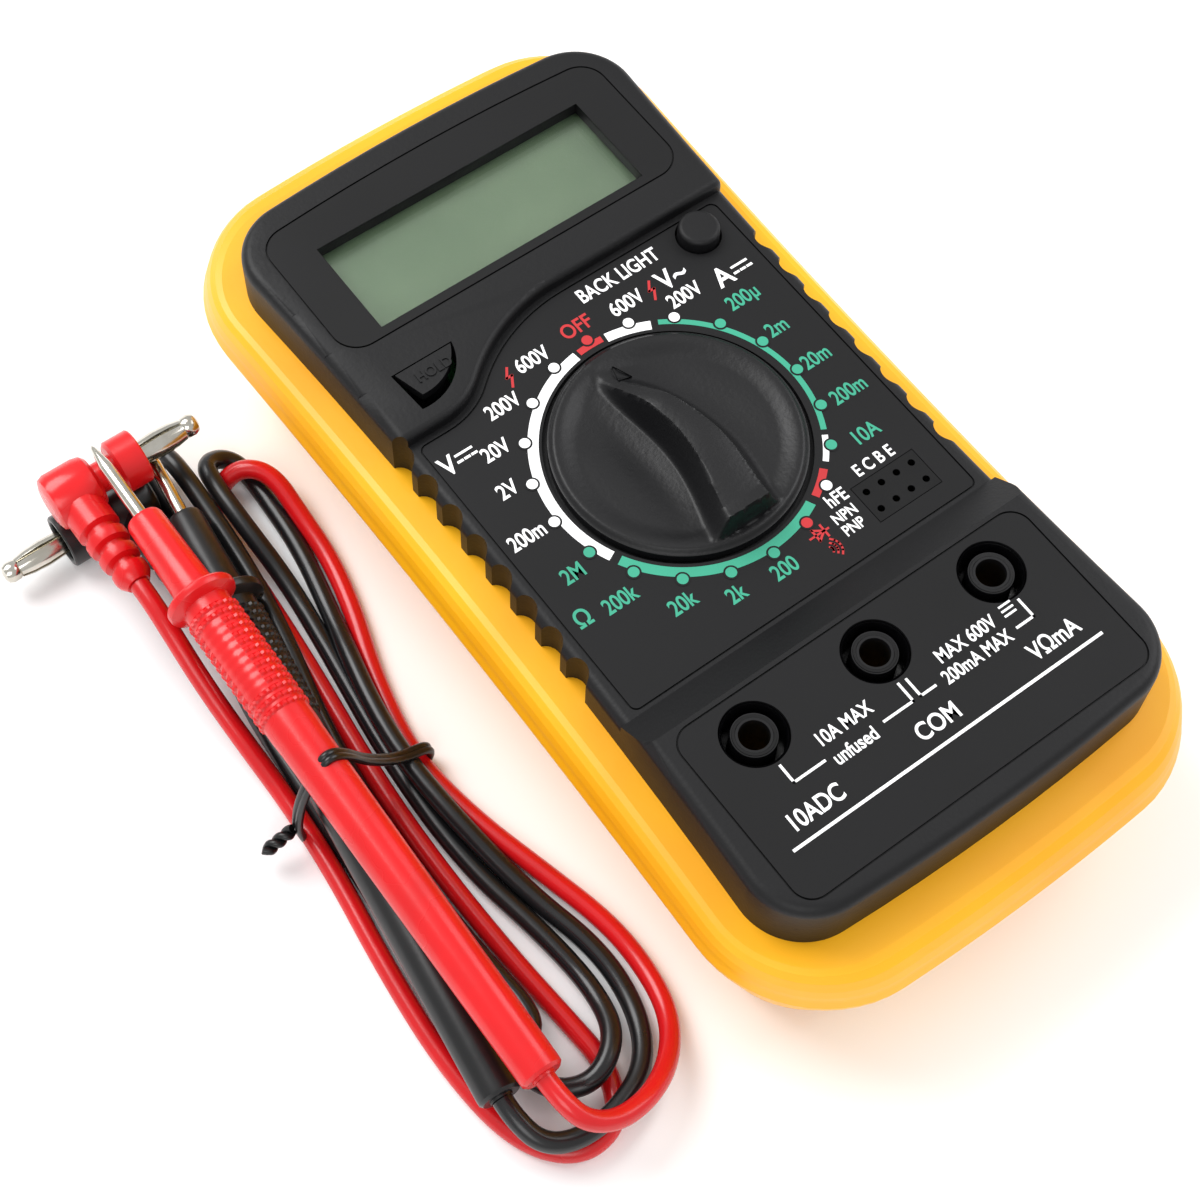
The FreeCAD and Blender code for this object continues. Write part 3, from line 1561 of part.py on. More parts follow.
def turned_frame(nose, tail):
    """A placement with its Z axis from the tail to the nose."""
    return FreeCAD.Placement(tail, FreeCAD.Rotation(Vector(0, 0, 1), nose - tail))


def make_probe(colour):
    nose, tail = PROBES[colour]
    frame = turned_frame(nose, tail)
    body = new_body(f"{colour}_probe")
    sketch = new_sketch(body, f"{colour}_probe_profile", plane="XZ_Plane")
    grip_start = S.probe_length * 0.62
    flange_start = S.probe_length - 15.6
    draw_outline(
        sketch,
        [
            Corner(0, 0),
            Corner(S.probe_tail - 0.4, 0),
            Corner(S.probe_tail, 0.6),
            Corner(S.probe_tail + 0.4, grip_start - 4),
            Corner(S.probe_grip, grip_start),
            Corner(S.probe_grip, flange_start),
            Corner(S.probe_flange, flange_start + 0.4),
            Corner(S.probe_flange, flange_start + 1.6),
            Corner(S.probe_grip - 0.6, flange_start + 2.2),
            Corner(S.probe_nose, S.probe_length - 0.5),
            Corner(S.probe_nose - 0.5, S.probe_length),
            Corner(0, S.probe_length),
        ],
    )
    doc.recompute()
    revolve(body, f"{colour}_probe_turned", sketch, "Z_Axis")
    bore = new_sketch(body, f"{colour}_needle_seat", height=S.probe_length - 10)
    draw_circle(bore, 0, 0, S.needle_radius)
    doc.recompute()
    pocket(body, f"{colour}_needle_bore", bore, as_size(11))
    body.Placement = frame
    piece(body, f"{colour}_probe_handle")
    needle_body = new_body(f"{colour}_needle")
    sketch = new_sketch(needle_body, f"{colour}_needle_profile", plane="XZ_Plane")
    start = S.probe_length - 10
    end = S.probe_length + S.needle_length
    draw_outline(
        sketch,
        [
            Corner(0, start),
            Corner(S.needle_radius, start),
            Corner(S.needle_radius, end - 4),
            Corner(0.15, end),
            Corner(0, end),
        ],
    )
    doc.recompute()
    revolve(needle_body, f"{colour}_needle_turned", sketch, "Z_Axis")
    needle_body.Placement = frame
    piece(needle_body, f"{colour}_probe_tip")


def make_plug(colour):
    """A right-angle plug: a round block and a round shroud along X with a neck between them, a pin
    through the shroud, and a tapered strain relief towards -Y."""
    middle, way = PLUGS[colour]
    rotation = ALONG_X if way > 0 else ALONG_MINUS_X
    half_neck = S.plug_neck_length / 2

    def along(shift):
        return (middle.x + way * as_size(shift), middle.y, middle.z)

    block_start = -half_neck - S.plug_block_length
    shroud_end = half_neck + S.plug_shroud_length
    relief = (middle.x + way * (block_start + S.plug_block_length / 2), middle.y - 3, middle.z)
    parts = [
        rod(f"{colour}_plug_block", along(block_start), S.plug_block, S.plug_block_length, rotation),
        rod(f"{colour}_plug_neck", along(-half_neck - 1), S.plug_neck, S.plug_neck_length + 2, rotation),
        rod(f"{colour}_plug_shroud", along(half_neck), S.plug_shroud, S.plug_shroud_length, rotation),
        cone(f"{colour}_plug_relief", relief, 3.2, 2.3, 14.5, ALONG_MINUS_Y),
    ]
    hollow_start = half_neck + S.plug_floor
    hollow = rod(
        f"{colour}_plug_hollow",
        along(hollow_start),
        S.plug_shroud - 0.85,
        S.plug_shroud_length,
        rotation,
    )
    pin_start = -half_neck + 0.5
    seat = rod(f"{colour}_pin_seat", along(pin_start), 1.3, 9, rotation)
    whole = fuse(f"{colour}_plug_whole", parts)
    piece(cut(f"{colour}_plug_bored", whole, [hollow, seat]), f"{colour}_plug_body")
    stub_length = hollow_start - pin_start + 0.4
    spring_length = shroud_end + S.plug_pin_reach - 1.2 - hollow_start - 0.3
    stub = rod(f"{colour}_pin_stub", along(pin_start), 1.3, stub_length, rotation)
    spring = rod(
        f"{colour}_pin_spring",
        along(hollow_start + 0.3),
        S.plug_pin_radius,
        spring_length,
        rotation,
    )
    nose = cone(
        f"{colour}_pin_nose",
        along(hollow_start + 0.3 + spring_length),
        S.plug_pin_radius,
        1.2,
        1.2,
        rotation,
    )
    piece(fuse(f"{colour}_pin", [stub, spring, nose]), f"{colour}_plug_pin")


def make_hank():
    """The folded leads as one solid of their outer shape."""
    body = new_body("hank")
    sketch = new_sketch(body, "hank_plan")
    points = [Vector(x, y, 0) for x, y in HANK_PLAN]
    for first, second in zip(points, points[1:] + points[:1]):
        sketch.addGeometry(Part.LineSegment(first, second), False)
    count = len(points)
    for edge in range(count):
        following = (edge + 1) % count
        sketch.addConstraint(Sketcher.Constraint("Coincident", edge, 2, following, 1))
    doc.recompute()
    pad(body, "hank_pad", sketch, S.hank_height)
    piece(body, "lead_hank")


def make_tie():
    """The twist tie, as an arch over the probes and the folded leads."""
    outer = block("tie_outer", (-66.6, -7.4, 0), (23.2, 2.4, 20.7))
    inner = block("tie_inner", (-65.6, -9, -1), (21.2, 6, 20.7))
    piece(cut("tie_arch", outer, [inner]), "twist_tie")


# ---------------------------------------------------------------- build, check and write

make_boot()
make_tilt_stand()
make_rear_case()
make_front_case()
make_labels()
make_case_screws()
make_display()
make_board()
make_socket()
make_jacks()
make_switches()
make_small_parts()
make_battery()
make_knob()
make_carrier()
make_keys()
make_probe("red")
make_probe("black")
make_plug("red")
make_plug("black")
make_hank()
make_tie()
doc.recompute()

for thing in doc.Objects:
    if "Invalid" in thing.State or "Error" in thing.State:
        sys.exit(f"{thing.Name} failed: {thing.State}")
os.makedirs("parts", exist_ok=True)
for thing in PIECES:
    shape = thing.Shape
    if shape.isNull() or not shape.isValid() or not shape.Solids:
        sys.exit(f"{thing.Label} is not a valid solid")
    shape.exportStep(os.path.join("parts", thing.Label + ".step"))
    print(thing.Label, len(shape.Solids), round(shape.Volume, 1))
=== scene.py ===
"""Looks of a pocket digital multimeter in a rubber boot, with its folded test leads beside it.

Every size in the classes is in millimetres in the meter's own frame: +X right, +Y towards the display
end, +Z up from the surface that it lies on. Meshes are scaled to metres as they are finished.
"""

import logging
import math
from dataclasses import dataclass, field
from enum import Enum

import bmesh
import bpy
from mathutils import Matrix, Vector


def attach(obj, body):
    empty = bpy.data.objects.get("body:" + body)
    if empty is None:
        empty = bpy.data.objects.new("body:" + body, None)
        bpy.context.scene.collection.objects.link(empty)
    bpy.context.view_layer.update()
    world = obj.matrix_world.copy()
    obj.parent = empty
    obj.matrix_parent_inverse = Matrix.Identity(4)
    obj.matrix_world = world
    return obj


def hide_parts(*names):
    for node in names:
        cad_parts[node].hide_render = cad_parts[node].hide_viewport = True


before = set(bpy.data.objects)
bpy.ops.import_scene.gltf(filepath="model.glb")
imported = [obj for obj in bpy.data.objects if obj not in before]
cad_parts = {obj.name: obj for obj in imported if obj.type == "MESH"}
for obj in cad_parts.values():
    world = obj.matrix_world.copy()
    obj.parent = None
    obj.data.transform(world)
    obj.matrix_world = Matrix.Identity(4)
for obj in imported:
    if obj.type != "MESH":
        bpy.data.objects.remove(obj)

LOG = logging.getLogger("multimeter")
MM = 0.001
FULL_TURN = 2 * math.pi
UP = Vector((0.0, 0.0, 1.0))

Point = tuple[float, float]


class Body(Enum):
    """The moving bodies that pieces ride on."""

    METER = "meter"
    DIAL = "dial"
    HOLD = "hold"
    BACKLIGHT = "backlight"
    STAND = "stand"


# ---------------------------------------------------------------- materials


def linear(colour: str) -> tuple[float, float, float, float]:
    """Turns an sRGB hex value into a linear colour.

    Args:
        colour: six hex digits.

    Returns:
        Red, green, blue and alpha.
    """
    parts = [int(colour[i : i + 2], 16) / 255 for i in (0, 2, 4)]
    low = [part / 12.92 if part <= 0.04045 else ((part + 0.055) / 1.055) ** 2.4 for part in parts]
    return (low[0], low[1], low[2], 1.0)


def add(tree: bpy.types.NodeTree, kind: str, inputs: dict | None = None, **settings) -> bpy.types.Node:
    """Adds a node with its settings and links.

    Args:
        tree: the material's nodes.
        kind: the node's type name.
        inputs: values or sockets, by input name or number.
        settings: attributes of the node.

    Returns:
        The new node.
    """
    node = tree.nodes.new(kind)
    for name, value in settings.items():
        setattr(node, name, value)
    for name, value in (inputs or {}).items():
        if isinstance(value, bpy.types.NodeSocket):
            tree.links.new(value, node.inputs[name])
        else:
            node.inputs[name].default_value = value
    return node


@dataclass(frozen=True)
class Finish:
    """A moulded, printed or plated finish with its own colour drift, grain and gloss.

    grain_mm is the size of the surface grain and grain_depth_mm its height; patch_mm is the size of the
    slow drift between colour and shade; gloss_drift is how far the roughness wanders.
    """

    name: str
    colour: str
    shade: str
    roughness: float
    metallic: float = 0.0
    ior: float = 1.5
    grain_mm: float = 0.5
    grain_depth_mm: float = 0.01
    patch_mm: float = 14.0
    gloss_drift: float = 0.06
    coat: float = 0.0
    transmission: float = 0.0
    subsurface: float = 0.0
    sheen: float = 0.0

    def make(self) -> bpy.types.Material:
        """Builds the material, once.

        Returns:
            The material.
        """
        if self.name in bpy.data.materials and bpy.data.materials[self.name].get("made"):
            return bpy.data.materials[self.name]
        material = bpy.data.materials.new(self.name)
        material["made"] = True
        material.use_nodes = True
        tree = material.node_tree
        shader = tree.nodes["Principled BSDF"]
        where = add(tree, "ShaderNodeTexCoord").outputs["Object"]
        patch_scale = 1000 / self.patch_mm
        patch = add(
            tree, "ShaderNodeTexNoise", {"Vector": where, "Scale": patch_scale, "Detail": 3.0}
        )
        drift = self.mix(tree, patch.outputs["Fac"], linear(self.colour), linear(self.shade))
        tree.links.new(drift, shader.inputs["Base Color"])
        grain_scale = 1000 / self.grain_mm
        grain = add(
            tree, "ShaderNodeTexNoise", {"Vector": where, "Scale": grain_scale, "Detail": 2.0}
        )
        gloss = add(
            tree,
            "ShaderNodeMapRange",
            {
                "Value": patch.outputs["Fac"],
                "From Min": 0.3,
                "From Max": 0.7,
                "To Min": self.roughness - self.gloss_drift,
                "To Max": self.roughness + self.gloss_drift,
            },
        )
        tree.links.new(gloss.outputs["Result"], shader.inputs["Roughness"])
        bump = add(
            tree,
            "ShaderNodeBump",
            {
                "Height": grain.outputs["Fac"],
                "Distance": self.grain_depth_mm * MM,
                "Strength": 1.0,
            },
        )
        tree.links.new(bump.outputs["Normal"], shader.inputs["Normal"])
        shader.inputs["Metallic"].default_value = self.metallic
        shader.inputs["IOR"].default_value = self.ior
        shader.inputs["Coat Weight"].default_value = self.coat
        shader.inputs["Transmission Weight"].default_value = self.transmission
        shader.inputs["Subsurface Weight"].default_value = self.subsurface
        shader.inputs["Subsurface Scale"].default_value = MM
        shader.inputs["Sheen Weight"].default_value = self.sheen
        return material

    @staticmethod
    def mix(
        tree: bpy.types.NodeTree,
        share: bpy.types.NodeSocket,
        first: tuple[float, float, float, float],
        second: tuple[float, float, float, float],
    ) -> bpy.types.NodeSocket:
        """Mixes two colours by a share.

        Args:
            tree: the material's nodes.
            share: the socket that picks between them.
            first: colour at 0.
            second: colour at 1.

        Returns:
            The mixed colour's socket.
        """
        ramp = add(tree, "ShaderNodeValToRGB", {"Fac": share})
        ramp.color_ramp.elements[0].position = 0.35
        ramp.color_ramp.elements[0].color = first
        ramp.color_ramp.elements[1].position = 0.65
        ramp.color_ramp.elements[1].color = second
        return ramp.outputs["Color"]


# Overmoulded thermoplastic rubber: an even satin yellow with a faint egg-shell grain.
BOOT_RUBBER = Finish(
    "moulded_boot_rubber", "fdb813", "f8a90c", 0.4, grain_mm=0.9, grain_depth_mm=0.012,
    patch_mm=30,
)
# Spark-eroded ABS: a fine matte grain that scatters the light in small points.
CASE_ABS = Finish(
    "spark_grained_abs", "0b0b0d", "08080a", 0.5, ior=1.38, grain_mm=0.55, grain_depth_mm=0.03, patch_mm=25,
)
# Polycarbonate label film, printed from behind: smoother and a little bluer than the case.
LABEL_FILM = Finish(
    "printed_label_film", "09090b", "070708", 0.55, ior=1.36, grain_mm=0.35,
    grain_depth_mm=0.006, patch_mm=30,
)
KNOB_ABS = Finish(
    "soft_grained_knob_abs", "0d0d0f", "0a0a0c", 0.42, ior=1.42, grain_mm=0.7,
    grain_depth_mm=0.04, patch_mm=18,
)
SOCKET_ABS = Finish(
    "polished_jack_abs", "060607", "050506", 0.16, grain_mm=2.0, grain_depth_mm=0.004, patch_mm=9,
)
WHITE_INK = Finish("white_screen_ink", "ffffff", "f6f6f6", 0.5, grain_depth_mm=0.002)
GREEN_INK = Finish("green_screen_ink", "35a384", "309a7c", 0.5, grain_depth_mm=0.002)
RED_INK = Finish("red_screen_ink", "c2252a", "b52025", 0.5, grain_depth_mm=0.002)
LCD_CELL = Finish(
    "liquid_crystal_cell", "8fa585", "869c7c", 0.3, grain_mm=6, grain_depth_mm=0.002, patch_mm=40,
)
CLEAR_ACRYLIC = Finish(
    "polished_clear_acrylic", "f4f7f5", "eef2f0", 0.04, ior=1.49, grain_mm=20, grain_depth_mm=0.001,
    gloss_drift=0.01, transmission=1.0,
)
# Nickel plate on brass: mirror bright with warm reflections.
NICKEL_PLATE = Finish(
    "bright_nickel_plate", "d8d5cc", "c4bfb2", 0.16, metallic=1.0, grain_mm=3, grain_depth_mm=0.004,
    patch_mm=4, gloss_drift=0.05,
)
# Nickel over the whole sleeve with a dull gloss; its colour is painted darker than fresh plate as painted
# shade, so that the jack bores look deep.
JACK_SLEEVE = Finish("sleeve_nickel_painted_bore_shade", "38352f", "2b2924", 0.5, metallic=1.0, patch_mm=3)
BRASS = Finish("turned_brass", "d7b267", "c39a4c", 0.24, metallic=1.0, grain_mm=1.5, patch_mm=3)
STEEL = Finish("drawn_steel", "a7a9ad", "94969a", 0.32, metallic=1.0, grain_mm=0.8, patch_mm=5)
RED_HANDLE = Finish(
    "red_moulded_pvc", "dc161b", "cf1116", 0.26, grain_mm=1.2, grain_depth_mm=0.012, patch_mm=10,
)
BLACK_HANDLE = Finish(
    "black_moulded_pvc", "131314", "101011", 0.32, grain_mm=1.2, grain_depth_mm=0.012, patch_mm=10,
)
# Extruded vinyl sleeve: glossy, with the faint waviness of the wires inside.
RED_LEAD = Finish(
    "red_extruded_vinyl", "d3151b", "c31117", 0.24, grain_mm=3.5, grain_depth_mm=0.03, patch_mm=12,
)
BLACK_LEAD = Finish(
    "black_extruded_vinyl", "18181a", "121213", 0.28, grain_mm=3.5, grain_depth_mm=0.03, patch_mm=12,
)
TIE_VINYL = Finish("black_tie_vinyl", "0c0c0d", "09090a", 0.36, grain_mm=0.8, grain_depth_mm=0.02)
SOLDER_MASK = Finish("green_solder_mask", "2f6e3d", "285f34", 0.3, grain_mm=0.8, patch_mm=6)
WHITE_ABS = Finish("white_moulded_abs", "e4e1d8", "dad7cd", 0.45)
BLUE_LACQUER = Finish("blue_resistor_lacquer", "4f8fb5", "457fa2", 0.3, grain_mm=0.6)
BATTERY_WRAP = Finish("printed_battery_wrap", "3a3f47", "30343b", 0.35, grain_mm=2)
SOFT_RUBBER = Finish("soft_black_rubber", "2a2a2c", "222224", 0.55, grain_mm=0.6)
CLEAR_GLASS = Finish(
    "clear_fuse_glass", "f1f5f4", "eaf0ee", 0.03, ior=1.52, grain_mm=20, grain_depth_mm=0.001,
    gloss_drift=0.01, transmission=1.0,
)

CAD_FINISHES: dict[str, Finish] = {
    "rear_case": CASE_ABS,
    "front_case": CASE_ABS,
    "display_label": LABEL_FILM,
    "range_label": LABEL_FILM,
    "jack_label": LABEL_FILM,
    "case_screws": STEEL,
    "board_screws": STEEL,
    "stand_pin": STEEL,
    "tilt_stand": BOOT_RUBBER,
    "display_window": CLEAR_ACRYLIC,
    "lcd_glass": LCD_CELL,
    "backlight_panel": WHITE_ABS,
    "backlight_leds": WHITE_ABS,
    "zebra_strip": SOFT_RUBBER,
    "lcd_frame": WHITE_ABS,
    "circuit_board": SOLDER_MASK,
    "transistor_socket": SOCKET_ABS,
    "transistor_contacts": BRASS,
    "jack_sleeve_high_current": JACK_SLEEVE,
    "jack_sleeve_common": JACK_SLEEVE,
    "jack_sleeve_voltage": JACK_SLEEVE,
    "hold_switch": CASE_ABS,
    "backlight_switch": CASE_ABS,
    "main_chip": SOFT_RUBBER,
    "resistors": BLUE_LACQUER,
    "capacitors": SOFT_RUBBER,
    "trimmer_pot": WHITE_ABS,
    "shunt_wire": NICKEL_PLATE,
    "fuse_tube": CLEAR_GLASS,
    "fuse_caps": NICKEL_PLATE,
    "fuse_clips": NICKEL_PLATE,
    "buzzer_disc": BRASS,
    "battery": BATTERY_WRAP,
    "battery_snap": SOFT_RUBBER,
    "battery_wires": SOFT_RUBBER,
    "contact_carrier": WHITE_ABS,
    "detent_balls": STEEL,
    "detent_springs": STEEL,
    "wiper_contacts": BRASS,
    "dial_screw": STEEL,
    "hold_key": CASE_ABS,
    "backlight_button": CASE_ABS,
}


# ---------------------------------------------------------------- mesh helpers


def shade_by_angle(bm: bmesh.types.BMesh, degrees: float) -> None:
    """Smooths every face and keeps the edges that turn more than an angle sharp.

    Args:
        bm: the mesh.
        degrees: the angle.
    """
    limit = math.radians(degrees)
    for face in bm.faces:
        face.smooth = True
    for edge in bm.edges:
        edge.smooth = len(edge.link_faces) == 2 and edge.calc_face_angle(0.0) < limit


def finished(
    name: str,
    bm: bmesh.types.BMesh,
    finish: Finish,
    body: Body,
    degrees: float = 35.0,
    scale: float = MM,
) -> bpy.types.Object:
    """Makes a mesh into a dressed piece that rides on a body.

    Args:
        name: the piece's name.
        bm: the mesh, which is freed.
        finish: its finish.
        body: the body that it rides on.
        degrees: the angle past which an edge stays sharp.
        scale: from the mesh's unit to metres.

    Returns:
        The new object.
    """
    bmesh.ops.scale(bm, vec=(scale, scale, scale), verts=bm.verts)
    shade_by_angle(bm, degrees)
    mesh = bpy.data.meshes.new(name)
    bm.to_mesh(mesh)
    bm.free()
    piece = bpy.data.objects.new(name, mesh)
    bpy.context.scene.collection.objects.link(piece)
    piece.data.materials.append(finish.make())
    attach(piece, body.value)
    LOG.info("%s: %d faces", name, len(mesh.polygons))
    return piece


def lathe(bm: bmesh.types.BMesh, profile: list[Point], steps: int, place: Matrix) -> None:
    """Spins a profile of radius and height once round Z and puts it in place.

    Args:
        bm: the mesh that it joins.
        profile: points from one end of the axis to the other.
        steps: sides of the turn.
        place: where the turned shape goes.
    """
    turned = bmesh.new()
    verts = [turned.verts.new((radius, 0.0, height)) for radius, height in profile]
    for first, second in zip(verts, verts[1:]):
        turned.edges.new((first, second))
    bmesh.ops.spin(
        turned,
        geom=turned.verts[:] + turned.edges[:],
        cent=(0, 0, 0),
        axis=(0, 0, 1),
        angle=FULL_TURN,
        steps=steps,
        use_merge=True,
        use_duplicate=False,
    )
    bmesh.ops.remove_doubles(turned, verts=turned.verts, dist=1e-4)
    bmesh.ops.recalc_face_normals(turned, faces=turned.faces)
    bmesh.ops.transform(turned, matrix=place, verts=turned.verts)
    join(bm, turned)


def join(bm: bmesh.types.BMesh, other: bmesh.types.BMesh) -> None:
    """Adds another mesh to this one and frees it.

    Args:
        bm: the mesh that grows.
        other: the mesh that joins it.
    """
    mesh = bpy.data.meshes.new("joined")
    other.to_mesh(mesh)
    other.free()
    bm.from_mesh(mesh)
    bpy.data.meshes.remove(mesh)


def aimed(start: Vector, way: Vector) -> Matrix:
    """A placement at start with its Z axis along way.

    Args:
        start: the origin.
        way: the direction of Z.

    Returns:
        The matrix.
    """
    return Matrix.Translation(start) @ way.to_track_quat("Z", "Y").to_matrix().to_4x4()


def refine(node: str, finish: Finish, body: Body, degrees: float = 32.0) -> bpy.types.Object:
    """Copies a CAD node, closes its seams, smooths its round faces and stands in for it.

    Args:
        node: the node's name.
        finish: its finish.
        body: the body that it rides on.
        degrees: the angle past which an edge stays sharp.

    Returns:
        The new piece.
    """
    bm = bmesh.new()
    bm.from_mesh(bpy.data.objects[node].data)
    bmesh.ops.remove_doubles(bm, verts=bm.verts, dist=2e-6)
    piece = finished(node + "_smooth", bm, finish, body, degrees, scale=1.0)
    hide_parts(node)
    return piece


# ---------------------------------------------------------------- the boot


@dataclass
class Outline:
    """A rectangle with arched ends, drawn-in sides and round corners."""

    half: float
    low: float
    high: float
    rise: float
    waist: float
    corner: float

    def face(self, bm: bmesh.types.BMesh) -> bmesh.types.BMFace:
        """Draws the outline as one flat face at height 0.

        Args:
            bm: an empty mesh.

        Returns:
            The face.
        """
        low, high = self.low + self.rise, self.high - self.rise
        corners = [(-self.half, low), (self.half, low), (self.half, high), (-self.half, high)]
        verts = [bm.verts.new((x, y, 0.0)) for x, y in corners]
        bm.faces.new(verts)
        bmesh.ops.bevel(
            bm, geom=verts, offset=self.corner, offset_type="OFFSET", affect="VERTICES",
            segments=14, profile=0.5, material=-1,
        )
        long_edges = [edge for edge in bm.edges if edge.calc_length() > self.half * 0.4]
        bmesh.ops.subdivide_edges(bm, edges=long_edges, cuts=35)
        middle, reach = (low + high) / 2, (high - low) / 2
        for vert in bm.verts:
            across, along = vert.co.x / self.half, (vert.co.y - middle) / reach
            vert.co.y += math.copysign(self.rise * (1 - across**2) * abs(along) ** 4, along)
            vert.co.x -= math.copysign(self.waist * (1 - along**2) * abs(across) ** 4, across)
        bm.faces.ensure_lookup_table()
        return bm.faces[0]


@dataclass
class Boot:
    """The yellow boot: a domed rim that rolls over into the pocket for the case."""

    outer: Outline = field(default_factory=lambda: Outline(37.7, -73.0, 73.0, 2.0, 1.3, 18.0))
    inner: Outline = field(default_factory=lambda: Outline(32.2, -64.5, 62.5, 1.6, 2.1, 9.1))
    floor: float = 4.0
    window_half: float = 17.6
    window: Point = (-29.6, 45.3)
    # Inset from the outer wall, share of the way to the pocket, height.
    section: tuple[tuple[float, float, float], ...] = (
        (10.6, 0.0, 0.0),
        (9.0, 0.0, 0.2),
        (7.6, 0.0, 0.9),
        (6.4, 0.0, 2.0),
        (5.5, 0.0, 3.2),
        (4.8, 0.0, 4.6),
        (4.15, 0.0, 6.6),
        (3.3, 0.0, 9.3),
        (2.3, 0.0, 12.5),
        (1.2, 0.0, 15.8),
        (0.4, 0.0, 18.2),
        (0.0, 0.015, 19.7),
        (0.0, 0.07, 20.8),
        (0.0, 0.085, 21.2),
        (0.0, 0.1, 21.9),
        (0.0, 0.15, 23.1),
        (0.0, 0.24, 24.3),
        (0.0, 0.36, 25.1),
        (0.0, 0.5, 25.4),
        (0.0, 0.66, 25.3),
        (0.0, 0.8, 24.95),
        (0.0, 0.91, 24.45),
        (0.0, 0.98, 23.8),
        (0.0, 1.0, 23.0),
        (0.0, 1.0, 12.0),
        (0.0, 1.0, 4.0),
    )

    def build(self) -> bpy.types.Object:
        """Lofts the boot through its section and opens the stand's window.

        Returns:
            The boot.
        """
        bm = bmesh.new()
        face = self.outer.face(bm)
        inside = bmesh.new()
        self.inner.face(inside)
        bm.verts.ensure_lookup_table()
        home = bm.verts.layers.float_vector.new("home")
        pocket = bm.verts.layers.float_vector.new("pocket")
        out = bm.verts.layers.float_vector.new("out")
        loop = [corner.vert for corner in face.loops]
        target = [corner.vert.co.copy() for corner in inside.faces[:][0].loops]
        inside.free()
        for spot, vert in enumerate(loop):
            before, after = loop[spot - 1].co, loop[(spot + 1) % len(loop)].co
            along = (after - before).normalized()
            vert[home] = vert.co
            vert[pocket] = target[spot]
            vert[out] = Vector((along.y, -along.x, 0.0))
        self.shape(loop, self.section[0], home, pocket, out)
        bottom = face
        for level in self.section[1:]:
            grown = bmesh.ops.extrude_face_region(bm, geom=[face], use_keep_orig=face is bottom)
            verts = [item for item in grown["geom"] if isinstance(item, bmesh.types.BMVert)]
            face = next(item for item in grown["geom"] if isinstance(item, bmesh.types.BMFace))
            self.shape(verts, level, home, pocket, out)
        self.open_window(bm)
        bmesh.ops.recalc_face_normals(bm, faces=bm.faces)
        piece = finished("boot_shell", bm, BOOT_RUBBER, Body.METER, 40)
        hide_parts("protective_boot")
        return piece

    @staticmethod
    def shape(
        verts: list[bmesh.types.BMVert],
        level: tuple[float, float, float],
        home: bmesh.types.BMLayerItem,
        pocket: bmesh.types.BMLayerItem,
        out: bmesh.types.BMLayerItem,
    ) -> None:
        """Moves a ring of vertices to its level of the section.

        Args:
            verts: the ring.
            level: inset, share and height.
            home: layer of the outer wall's place.
            pocket: layer of the pocket wall's place.
            out: layer of the outward direction.
        """
        inset, share, height = level
        for vert in verts:
            spot = Vector(vert[home]).lerp(Vector(vert[pocket]), share) - Vector(vert[out]) * inset
            vert.co = (spot.x, spot.y, height)

    def open_window(self, bm: bmesh.types.BMesh) -> None:
        """Cuts the stand's window through the back.

        Args:
            bm: the boot's mesh.
        """
        low, high = self.window
        planes = [
            ((-self.window_half, 0, 0), (1, 0, 0)),
            ((self.window_half, 0, 0), (1, 0, 0)),
            ((0, low, 0), (0, 1, 0)),
            ((0, high, 0), (0, 1, 0)),
        ]
        for spot, normal in planes:
            flat = [face for face in bm.faces if self.is_back(face)]
            parts = {part for face in flat for part in (*face.verts, *face.edges)}
            bmesh.ops.bisect_plane(bm, geom=flat + list(parts), plane_co=spot, plane_no=normal)
        gone = [face for face in bm.faces if self.is_back(face) and self.in_window(face, low, high)]
        bmesh.ops.delete(bm, geom=gone, context="FACES")
        rim = [edge for edge in bm.edges if len(edge.link_faces) == 1]
        bmesh.ops.bridge_loops(bm, edges=rim)

    def is_back(self, face: bmesh.types.BMFace) -> bool:
        """Whether a face is one of the back's two flat sides."""
        heights = [vert.co.z for vert in face.verts]
        flat = max(heights) - min(heights) < 1e-5
        return flat and (max(heights) < 1e-3 or abs(max(heights) - self.floor) < 1e-3)

    def in_window(self, face: bmesh.types.BMFace, low: float, high: float) -> bool:
        """Whether a face lies inside the window."""
        middle = face.calc_center_median()
        return abs(middle.x) < self.window_half and low < middle.y < high


# ---------------------------------------------------------------- the range dial


